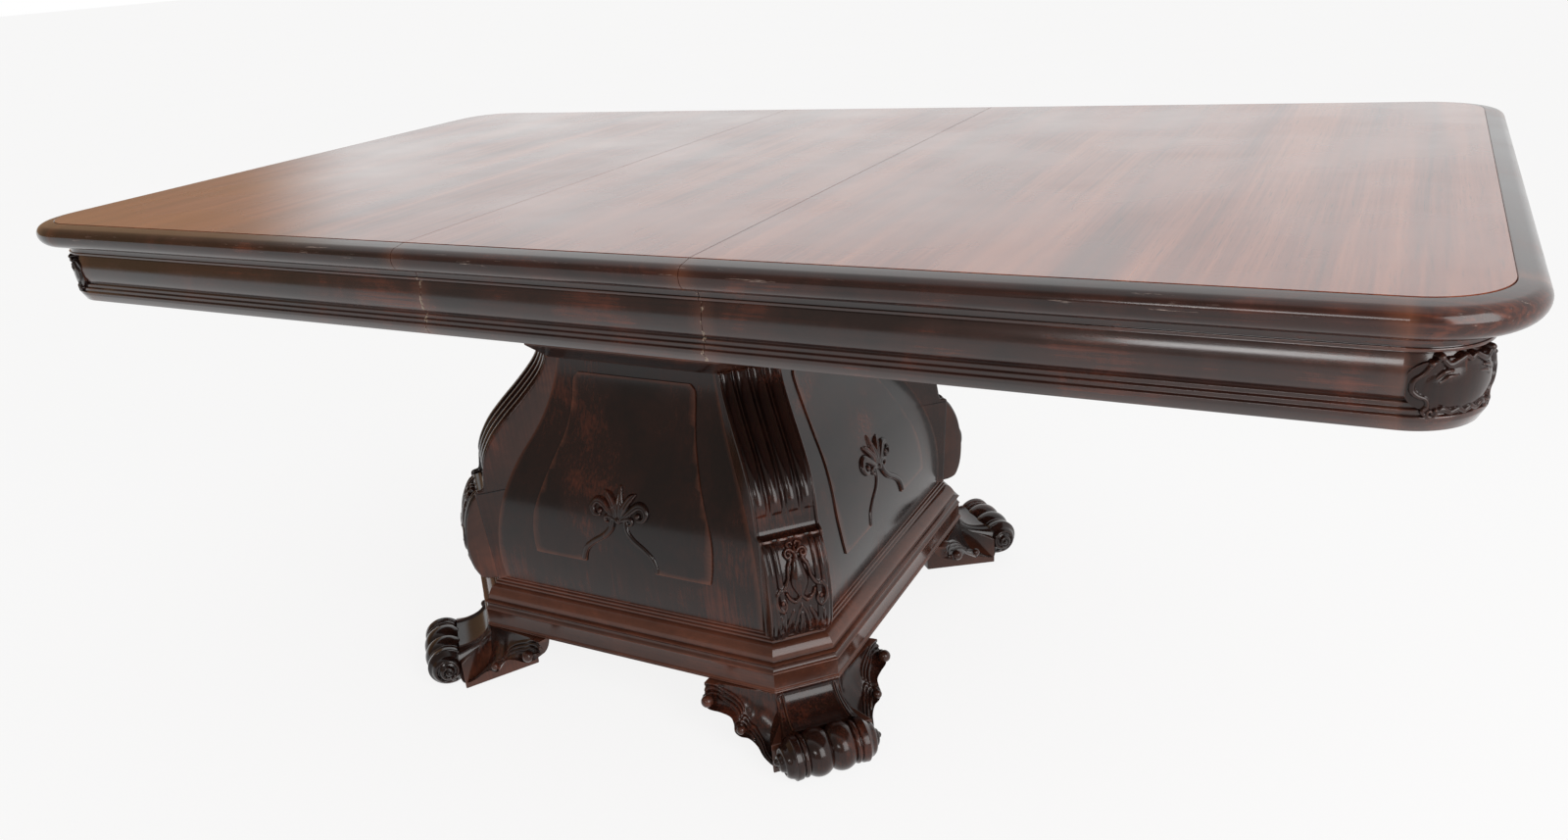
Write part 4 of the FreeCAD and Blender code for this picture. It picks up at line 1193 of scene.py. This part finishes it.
@dataclass
class CornerPosts(PedestalWork):
    """Reeded corner posts with a scroll above, and the carved blocks on their faces."""

    back_low: float = 300.0
    back_top: float = 196.0
    bead_half: float = 2.8
    bead_rise: float = 4.2
    reed_sink: float = 3.0
    post_columns: int = 138
    block_half: float = 44.0
    block_top: float = 312.0
    block_back: float = 378.0
    block_lean: float = 11 / 150
    block_sink: float = 2.5
    block_columns: int = 124
    block_rows: int = 150

    def reeds(self, across: np.ndarray, pattern: Sequence[Point]) -> np.ndarray:
        """Height of a row of reeds.

        Args:
            across: Places across the row, 0 at its middle.
            pattern: Width and rise of each reed in turn.

        Returns:
            Height at each place.
        """
        start = -sum(width for width, _ in pattern) / 2
        result = np.zeros(len(across))
        for width, rise in pattern:
            off = (across - start) / width * 2 - 1
            result = np.where(np.abs(off) <= 1, rise * np.sqrt(np.clip(1 - off ** 2, 0, 1)), result)
            start += width
        return result

    def lay(self, path: np.ndarray, half: float, columns: int,
            rise: Callable[[np.ndarray, np.ndarray], np.ndarray]) -> BMesh:
        """Lays a carved face along a path in the post's middle plane.

        Args:
            path: Distance from the axis and height of each row.
            half: Half the width of the face.
            columns: Number of columns.
            rise: Height of the carving, across the face and along it as a share.

        Returns:
            The open face.
        """
        slope = np.gradient(path, axis=0)
        slope /= np.linalg.norm(slope, axis=1)[:, None]
        marks = np.linspace(0, 1, len(path))

        def place(across: np.ndarray, along: np.ndarray) -> np.ndarray:
            """Raises the carving square to the path."""
            side = (across * 2 - 1) * half
            spot = [np.interp(along, marks, path[:, axis]) for axis in (0, 1)]
            lean = [np.interp(along, marks, slope[:, axis]) for axis in (0, 1)]
            up = rise(side, along)
            return np.stack((spot[0] + lean[1] * up, side, spot[1] - lean[0] * up), axis=-1)

        bm = bmesh.new()
        sheet(bm, columns, len(path) - 1, place)
        return bm

    def post(self) -> BMesh:
        """Returns one post, its middle plane on XZ."""
        shape = self.shape
        low, top = shape.plinth_top, shape.bell_top
        foot = trace(((381, 165), (386.5, 240), (391, 300), (391.8, 312)), 40)
        cove = trace((
            (391, 315), (388, 317), (381, 318.5), (378.4, 322), (377, 328), (375.5, 338), (373.5, 350),
            (370, 365), (363, 381), (349, 402), (327, 425), (301, 449), (281, 469), (268, 484), (260, 497),
            (254, 512)), 130)
        path = np.vstack((foot, cove))
        pattern = ((4, 0), (17, 6), (4.5, 2), (17.5, 6), (6, 2.6), (17.5, 6), (4.5, 2), (17, 6), (4, 0))
        # Heights above the floor and how much of the reeds shows at each.
        shows = np.array((
            (165, 0.4), (314, 0.4), (316, 0), (342, 0), (346, 0.45), (351, 0.8), (358, 1), (512, 0.9)))
        marks = np.linspace(0, 1, len(path))

        def rise(across: np.ndarray, along: np.ndarray) -> np.ndarray:
            """Height of the reeds between two round edge beads."""
            up = np.interp(along, marks, path[:, 1])
            off = np.clip((np.abs(across) - shape.post_half + self.bead_half) / self.bead_half, -1, 1)
            bead = self.bead_rise * np.sqrt(1 - off ** 2)
            shown_reeds = self.reeds(across, pattern) * np.interp(up, shows[:, 0], shows[:, 1])
            return np.maximum(shown_reeds, bead) - self.reed_sink

        def behind(spot: Vector) -> Spot:
            """Draws a point of the rim back to the body's corner."""
            up = min(max(spot.z, low), top)
            share = (up - low) / (top - low)
            return (self.back_low + (self.back_top - self.back_low) * share, spot.y, up)

        bm = self.lay(path, shape.post_half, self.post_columns, rise)
        draw_back(bm, behind)
        for vert in bm.verts:
            vert.co.z = min(max(vert.co.z, low), top)
        return bm

    def cartouche(self) -> Relief:
        """Returns the carving of a block, up from the block's foot."""
        return Relief((
            Stroke(((3, 128), (8, 134), (9, 140), (4, 142), (2, 138)), (2.6, 3, 3, 2.4, 1.8), 6),
            Stroke(volute((10, 126), 6, 1.2, 120, -1), (2.6, 2.4, 1.8), 6.5),
            Stroke(((8, 121), (14, 112), (16, 102), (22, 93), (29, 90)), (2.8, 2.6, 2.6, 3, 3), 6),
            Stroke(((29, 92), (35, 85), (34, 74), (27, 69), (22, 74), (24, 80)),
                   (3, 3.2, 3, 2.8, 2.4, 2), 6.5),
            boss(27, 78, 3.6, 7),
            Stroke(((0, 116), (0, 98), (0, 84)), (7, 13, 5), 7, paired=False),
            Stroke(((0, 82), (8, 76), (16, 80), (20, 86)), (2.4, 2.6, 2.4, 2), 5),
            Stroke(((0, 134), (0, 124), (0, 118)), (2, 4, 2.4), 6, paired=False),
            Stroke(((30, 62), (31, 52)), (4, 2.2), 5.5),
            Stroke(((30, 46), (31, 35)), (4, 2.2), 5.5),
            Stroke(((30, 29), (31, 18)), (4, 2.2), 5),
            Stroke(((30, 12), (31, 4)), (3.6, 2.2), 4.5),
            Stroke(((0, 70), (7, 60), (10, 42), (6, 22), (0, 8)), (2.2, 2.6, 2.6, 2.2), 3),
            Stroke(((0, 62), (0, 40), (0, 16)), (3, 5, 2), 4, 0.3, paired=False),
            Stroke(((12, 66), (19, 56), (22, 40), (20, 20)), (2, 3, 3, 2), 3.2, 0.2),
        ))

    def block(self) -> BMesh:
        """Returns one carved block, its middle plane on XZ."""
        low, top = self.shape.plinth_top, self.block_top
        path = trace((
            (383, 165), (399, 168), (408, 175), (416, 197), (419, 228), (417, 253), (412, 277), (402, 299),
            (392, 312)), self.block_rows)
        relief = self.cartouche()
        pattern = ((4, 1.5), (9, 4), (9, 4), (44, 0), (9, 4), (9, 4), (4, 1.5))

        def rise(across: np.ndarray, along: np.ndarray) -> np.ndarray:
            """Height of the carving between two pairs of reeds."""
            up = along * (top - low)
            beside = self.reeds(across, pattern) * np.interp(up, (0, 8, 140, 147), (0.4, 1, 1, 0.5))
            return np.maximum(beside, relief.height(across, up)) - self.block_sink

        def behind(spot: Vector) -> Spot:
            """Draws a point of the rim back into the post."""
            return (self.block_back + self.block_lean * (spot.z - low), spot.y, min(max(spot.z, low), top))

        bm = self.lay(path, self.block_half, self.block_columns, rise)
        draw_back(bm, behind)
        return bm

    def build(self) -> None:
        """Builds the four posts and blocks."""
        for corner, turn in CORNERS:
            self.make(self.post(), f"reeded_post_{corner}", f"corner_post_{corner}", turn)
            self.make(self.block(), f"block_carving_{corner}", f"carved_block_{corner}", turn)


@dataclass
class Plinth(PedestalWork):
    """Mitred lengths of the plinth's moulding."""

    out: float = 328.0
    leg: float = 70.0
    edge_ease: float = 0.5

    def length(self, bm: BMesh, widest: float, half: float, turn: float) -> None:
        """Adds one mitred length.

        Args:
            bm: Mesh that gets the length.
            widest: Widest line from the axis.
            half: Half the length at the widest line.
            turn: Turn of the length in degrees.
        """
        # Set-back and height above the underside.
        profile = rounded((
            (66, 0), (5, 0), (3, 2, 2.2, 1), (3, 5, 1.8, 1), (6, 7), (6, 29), (4.5, 30.5), (4.5, 32),
            (4.5, 44, 6.4, 1), (7.5, 45.5), (12, 46), (17, 60, 22, -1), (27, 67, 16, -1), (27, 70), (30, 71),
            (30, 74), (33.6, 74.6), (33.6, 77), (66, 77)), 7)
        mitre = math.tan(math.radians(22.5))
        one = bmesh.new()
        ring = [one.verts.new((widest - back, half - back * mitre, self.shape.plinth_low + up))
                for back, up in profile]
        for vert in drawn_face(one, ring):
            vert.co.y *= -1
        ease(one, self.edge_ease)
        bmesh.ops.rotate(one, verts=one.verts, matrix=Matrix.Rotation(math.radians(turn), 3, "Z"))
        add_mesh(bm, one)

    def build(self) -> None:
        """Builds the sides and the cut corners."""
        cant = (2 * self.out - self.leg) / math.sqrt(2)
        for name, node, table, widest, half, start in (
                ("plinth_side_moulding", "plinth_sides", SIDES, self.out, self.out - self.leg, -90),
                ("plinth_corner_moulding", "plinth_corners", CORNERS, cant, self.leg / math.sqrt(2), 0)):
            bm = bmesh.new()
            for _, turn in table:
                self.length(bm, widest, half, turn + start)
            self.make(bm, name, node, crease=40, grain=Grain.LENGTH)


@dataclass
class ScrollFeet(PedestalWork):
    """Scroll feet: a swept front with a bordered panel, flanks with reeded scrolls, and a turned roll."""

    back: float = 345.0
    front: float = 463.0
    core_half: float = 48.0
    toe_half: float = 74.0
    toe_up: float = 50.0
    core_ease: float = 1.5
    border: float = 40.0
    border_sink: float = 0.8
    roll_out: float = 484.0
    roll_up: float = 34.0
    roll_half: float = 72.0
    roll_steps: int = 48
    drum: float = 53.0
    drum_end: float = 29.5
    dome_power: float = 1.6
    end_columns: int = 72
    end_rows: int = 34
    wall: float = 20.0
    shell_columns: int = 400
    shell_rows: int = 100
    # Length of the curve from the lower edge to the plinth, as a multiple of the straight way.
    bow: float = 1.11
    # Shares of the rows that lie on the face and that end at the foot of the back, and a little more.
    face_share: float = 0.84
    back_share: float = 0.98
    share_gap: float = 0.005
    # Steps in each stretch of the lower edge, and those along and up the face to the way that it looks.
    edge_steps: int = 20
    mark_step: float = 0.15
    share_step: float = 0.02
    # Lower edge of the right half, from the middle of the front to the tip of the wing: out, across and up.
    edge: tuple[Spot, ...] = (
        (462, 0, 58), (462, 24, 58), (462, 44, 58), (465, 56, 54), (468, 63, 40), (469, 66, 22), (464, 70, 9),
        (448, 81, 17), (433, 86, 28), (422, 94, 35), (414, 104, 36), (408, 110, 42), (402, 109, 51),
        (393, 111, 57), (381, 122, 60), (367, 135, 60), (353, 142, 65))
    # Where the hollow meets the underside of the plinth, beside each of the points of the lower edge.
    head: tuple[Point, ...] = (
        (410, 0), (410, 22), (410, 40), (410, 43), (410, 45), (410, 46), (409, 47), (408, 49), (404, 53),
        (398, 60), (391, 69), (387, 74), (382, 80), (375, 88), (363, 102), (351, 117), (340, 131))
    # Balls at the roots of the scrolls: out, across, up and radius.
    balls: tuple[tuple[float, float, float, float], ...] = ((362, 135, 70, 9), (413, 102, 46, 6.5))

    def scrolls(self) -> Relief:
        """Returns the border and the reeded scrolls, along the lower edge and up from it."""
        upper = ((261, 27), (252, 36), (242, 39), (232, 35), (217, 31), (205, 28), (196, 27))
        lower = ((190, 21), (186, 26), (179, 27.5), (168, 23), (156, 17), (140, 14), (124, 11), (108, 9))
        lines = []
        for drop, shift in ((0, 0), (6.3, 2.5), (12.6, 5)):
            points = tuple((run - shift * (run - 205) / 50, up - drop) for run, up in upper)
            lines.append(Stroke(points, (2.4, 3, 3.2, 3, 2.6), 3, paired=False))
        for drop, last in ((0, 8), (6, 8), (12, 5)):
            points = tuple((run, up - drop) for run, up in lower[:last])
            lines.append(Stroke(points, (2.4, 3, 3, 2.8, 2.6), 3, paired=False))
        for run, half, rise in ((self.border, 1.8, 2.2), (self.border + 4, 1.3, 1.2)):
            lines.append(Stroke(((run, 0), (run, 60)), (half, half), rise, paired=False))
        return Relief((*lines, boss(252, 9, 8.5, 8.5, paired=False), boss(187, 6, 6, 6, paired=False)))

    def shell(self) -> BMesh:
        """Returns the swept front with both flanks as one closed shell, the middle plane on XZ."""
        top = self.shape.plinth_low
        relief = self.scrolls()
        count = len(self.edge)
        low, high = (trace(points, (count - 1) * self.edge_steps + 1) for points in (self.edge, self.head))
        knots = np.linspace(0, count - 1, len(low))
        steps = np.linalg.norm(np.diff(np.array(self.edge), axis=0), axis=1)
        runs = np.concatenate(((0,), np.cumsum(steps)))

        def column(mark: np.ndarray) -> tuple[np.ndarray, np.ndarray]:
            """Lower and upper end of the curve at each mark along the edge."""
            first, last = (np.stack([np.interp(mark, knots, part) for part in line.T], axis=-1)
                           for line in (low, high))
            return first, last

        def ground(mark: np.ndarray, share: np.ndarray) -> np.ndarray:
            """Point of the hollow at each mark along the edge and share of the curve."""
            first, last = column(mark)
            swing = np.clip(share, 0, 1) * math.pi / 2
            flat = first[:, :2] + (last - first[:, :2]) * np.sin(swing)[:, None]
            return np.column_stack((flat, first[:, 2] + (top - first[:, 2]) * (1 - np.cos(swing))))

        def place(across: np.ndarray, along: np.ndarray) -> np.ndarray:
            """Lays the rows up the carved face and down the back."""
            hand = np.where(across < 0.5, -1.0, 1.0)
            run = np.abs(across * 2 - 1) * runs[-1]
            mark = np.interp(run, runs, np.arange(count))
            first, last = column(mark)
            gap = last - first[:, :2]
            span = self.bow * np.hypot(np.linalg.norm(gap, axis=1), top - first[:, 2])
            face = along <= self.face_share
            down = (along - self.face_share) / (self.back_share - self.face_share)
            share = np.clip(np.where(face, along / self.face_share, 1 - down), 0, 1)
            beside = (ground(np.minimum(mark + self.mark_step, count - 1), share)
                      - ground(np.maximum(mark - self.mark_step, 0), share))
            above = (ground(mark, np.minimum(share + self.share_step, 1))
                     - ground(mark, np.maximum(share - self.share_step, 0)))
            normal = np.cross(beside, above)
            normal /= np.linalg.norm(normal, axis=1)[:, None]
            rise = relief.height(run, share * span) - np.where(run < self.border, self.border_sink, 0)
            closed = face | (along > self.back_share + self.share_gap)
            inward = np.column_stack((gap / np.linalg.norm(gap, axis=1)[:, None], np.zeros(len(run))))
            spot = ground(mark, share) + np.where(closed[:, None], normal * rise[:, None], inward * self.wall)
            spot[:, 1] *= hand
            return spot

        bm = bmesh.new()
        sheet(bm, self.shell_columns, self.shell_rows, place)
        bmesh.ops.remove_doubles(bm, verts=bm.verts, dist=LEAST_GAP)
        close_ends(bm)
        return bm

    def core(self) -> BMesh:
        """Returns the plain block behind the front, the middle plane on XZ."""
        top = self.shape.plinth_low
        bm = bmesh.new()
        ring = [bm.verts.new((out, -self.core_half, up)) for out, up in (
            (self.back, 0), (self.front, 0), (self.front, 46), (428, 58), (402, top), (self.back, top))]
        for vert in drawn_face(bm, ring):
            vert.co.y += 2 * self.core_half
        for vert in bm.verts:
            if vert.co.z < self.toe_up and vert.co.x > self.back + 1:
                vert.co.y *= self.toe_half / self.core_half
        ease(bm, self.core_ease)
        return bm

    def roll(self) -> BMesh:
        """Returns the turned roll with its spiral ends, the middle plane on XZ."""
        # Radius and place along the roll.
        half = rounded((
            (26, 0), (26.5, 33, 22.5, 1), (28, 33.5), (28, 40.5, 4.2, 1), (26.8, 41), (26.8, 42),
            (30.5, 44.5, 3, 1), (31, 51), (29.5, 53, 2, 1)), 9)
        profile = [(radius, -place) for radius, place in reversed(half)] + half[1:]
        bm = bmesh.new()
        ring = [bm.verts.new((radius, place, 0)) for radius, place in profile]
        edges = [bm.edges.new(pair) for pair in zip(ring, ring[1:])]
        bmesh.ops.spin(bm, geom=ring + edges, cent=(0, 0, 0), axis=(0, 1, 0), angle=math.tau,
                       steps=self.roll_steps, use_merge=True)
        spiral = Stroke(volute((0, 0), 25, 1.9, 250, 1), (3.8, 3.6, 3.2, 2.6), 4, paired=False)
        coil = Relief((spiral, boss(0, 0, 6, 6, paired=False)))
        for hand in (-1, 1):

            def place(across: np.ndarray, along: np.ndarray, hand: int = hand) -> np.ndarray:
                """Domes an end and lays the spiral on it."""
                angle = across * math.tau
                reach = along * self.drum_end
                dome = self.drum + (self.roll_half - self.drum) * (1 - along ** self.dome_power)
                flat = (reach * np.cos(angle), reach * np.sin(angle))
                return np.stack((flat[0], hand * (dome + coil.height(*flat)), flat[1]), axis=-1)

            face = bmesh.new()
            sheet(face, self.end_columns, self.end_rows, place)
            bmesh.ops.remove_doubles(face, verts=face.verts, dist=LEAST_GAP)
            add_mesh(bm, face)
        bmesh.ops.translate(bm, vec=(self.roll_out, 0, self.roll_up), verts=bm.verts)
        return bm

    def build(self) -> None:
        """Builds the four feet."""
        for corner, turn in CORNERS:
            bm = self.shell()
            add_mesh(bm, self.core())
            for out, across, up, radius in self.balls:
                for hand in (-1, 1):
                    bmesh.ops.create_uvsphere(bm, u_segments=20, v_segments=12, radius=radius,
                                              matrix=Matrix.Translation((out, hand * across, up)))
            self.make(bm, f"swept_foot_{corner}", f"foot_{corner}", turn)
            self.make(self.roll(), f"turned_roll_{corner}", f"foot_roll_{corner}", turn)


@dataclass
class CarriedNodes:
    """Nodes of the frame whose shape is right and which only get a finish."""

    finishes: Finishes

    def build(self) -> None:
        """Dresses the nodes."""
        bare = self.finishes.bare
        for finish, names in (
                (self.finishes.top, ("left_top", "right_top", "leaf_top")),
                (bare[Grain.LENGTH], (
                    "left_slides", "right_slides", "fixed_slides", "head_boards", "base_board",
                    "left_glue_blocks", "right_glue_blocks", "left_joint_pins", "right_joint_pins")),
                (bare[Grain.WIDTH], ("slide_bearers",)),
                (self.finishes.steel, ("left_slide_screws", "right_slide_screws", "foot_bolts")),
                (self.finishes.dark[Grain.LENGTH], ("capital",))):
            for name in names:
                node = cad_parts[name]
                node.data.materials.clear()
                node.data.materials.append(finish)
                LOG.info("%s: dressed", name)


@dataclass(frozen=True)
class Lamp:
    """A soft lamp, in metres and watts: its place, what it looks at, its width and height and its power."""

    name: str
    spot: Spot
    aim: Spot
    size: Point
    power: float

    def build(self) -> None:
        """Adds the lamp."""
        data = bpy.data.lights.new(self.name, "AREA")
        data.shape = "RECTANGLE"
        data.size, data.size_y = self.size
        data.energy = self.power
        lamp = bpy.data.objects.new(self.name, data)
        lamp.location = self.spot
        lamp.rotation_euler = (Vector(self.aim) - Vector(self.spot)).to_track_quat("-Z", "Y").to_euler()
        bpy.context.scene.collection.objects.link(lamp)


@dataclass(frozen=True)
class Studio:
    """Pale floor, soft light and the photograph's view, in metres."""

    # The fitted camera: its place, and the ways of the picture's right, its foot and its depth.
    eye: Spot = (0.84098, -1.49322, 1.05341)
    right: Spot = (0.887537, 0.453934, -0.078875)
    down: Spot = (0.107889, -0.371196, -0.922265)
    ahead: Spot = (-0.447926, 0.810035, -0.378425)
    lens: float = 26.85
    sensor: float = 36.0
    sight: float = 600.0
    lamps: tuple[Lamp, ...] = (
        Lamp("window_front", (0.5, -3.3, 1.55), (0.3, 0.0, 0.6), (0.9, 0.4), 10.0),
        Lamp("window_right", (2.5, -1.6, 1.4), (0.0, 0.0, 0.45), (1.6, 2.0), 50.0))
    white: str = "#ffffff"
    floor_half: float = 150.0
    floor_dark: str = "#f8f8f7"
    floor_pale: str = "#fbfbfb"
    # Share of plain white in the floor as it is seen; light on the object comes from the rest.
    floor_white: float = 0.86
    # Strength of the surround as a light and as it is seen.
    strengths: Point = (0.66, 1.0)
    # Tints of the room as the gloss shows it: in front of the table, and far to the left.
    room: str = "#a89a92"
    room_range: Point = (-0.6, -0.1)
    left: str = "#b08e70"
    left_range: Point = (-0.79, -0.73)

    def camera(self) -> None:
        """Adds the camera."""
        data = bpy.data.cameras.new("camera")
        data.sensor_fit = "HORIZONTAL"
        data.sensor_width = self.sensor
        data.lens = self.lens
        data.clip_end = self.sight
        camera = bpy.data.objects.new("camera", data)
        axes = Matrix((self.right, -Vector(self.down), -Vector(self.ahead))).transposed()
        camera.matrix_world = Matrix.Translation(self.eye) @ axes.to_4x4()
        bpy.context.scene.collection.objects.link(camera)
        bpy.context.scene.camera = camera

    def floor(self) -> None:
        """Adds a pale painted floor."""
        material, tree, shader, place = new_material("pale_painted_floor")
        tone = ramp(tree, cloud(tree, place, 1.5, 3.0), (0.3, self.floor_dark), (0.7, self.floor_pale))
        set_inputs(tree, shader, {"Base Color": tone, "Roughness": 0.9, "Specular IOR Level": 0.1})
        share = reckon(tree, "MULTIPLY", shown(tree)[0], self.floor_white)
        plain = add_node(tree, "ShaderNodeEmission", inputs={"Color": linear(self.white), "Strength": 1.0})
        mixed = add_node(tree, "ShaderNodeMixShader", inputs={
            0: share, 1: shader.outputs[0], 2: plain.outputs[0]})
        tree.links.new(mixed.outputs[0], tree.nodes["Material Output"].inputs["Surface"])
        bm = bmesh.new()
        bmesh.ops.create_grid(bm, x_segments=4, y_segments=4, size=self.floor_half)
        mesh = bpy.data.meshes.new("floor")
        bm.to_mesh(mesh)
        bm.free()
        mesh.materials.append(material)
        floor = bpy.data.objects.new("floor", mesh)
        bpy.context.scene.collection.objects.link(floor)

    def surround(self) -> None:
        """Adds the pale surround."""
        world = bpy.data.worlds.new("surround")
        bpy.context.scene.world = world
        world.use_nodes = True
        tree = world.node_tree
        seen, camera = shown(tree)
        way = add_node(tree, "ShaderNodeTexCoord").outputs["Generated"]
        clear = remap(tree, axis_of(tree, way, "Y"), self.room_range, (0.0, 1.0), smooth=True)
        tint = blend(tree, clear, self.room, self.white)
        clear = remap(tree, axis_of(tree, way, "X"), self.left_range, (0.0, 1.0), smooth=True)
        tint = blend(tree, clear, self.left, tint)
        set_inputs(tree, tree.nodes["Background"], {
            "Color": blend(tree, camera, tint, self.white),
            "Strength": remap(tree, seen, (0.0, 1.0), self.strengths)})

    def build(self) -> None:
        """Builds the studio."""
        bpy.context.scene.view_settings.view_transform = "Standard"
        self.camera()
        self.floor()
        for lamp in self.lamps:
            lamp.build()
        self.surround()


def main() -> None:
    """Builds the table's pieces in order, then the studio."""
    logging.basicConfig(level=logging.INFO, format="%(name)s %(message)s")
    finishes = Finishes()
    shape = PedestalShape()
    TopMouldings(finishes).build()
    CornerCartouches(finishes).build()
    BodyPanels(finishes, shape).build()
    CornerPosts(finishes, shape).build()
    Plinth(finishes, shape).build()
    ScrollFeet(finishes, shape).build()
    CarriedNodes(finishes).build()
    Studio().build()


if __name__ == "__main__":
    main()
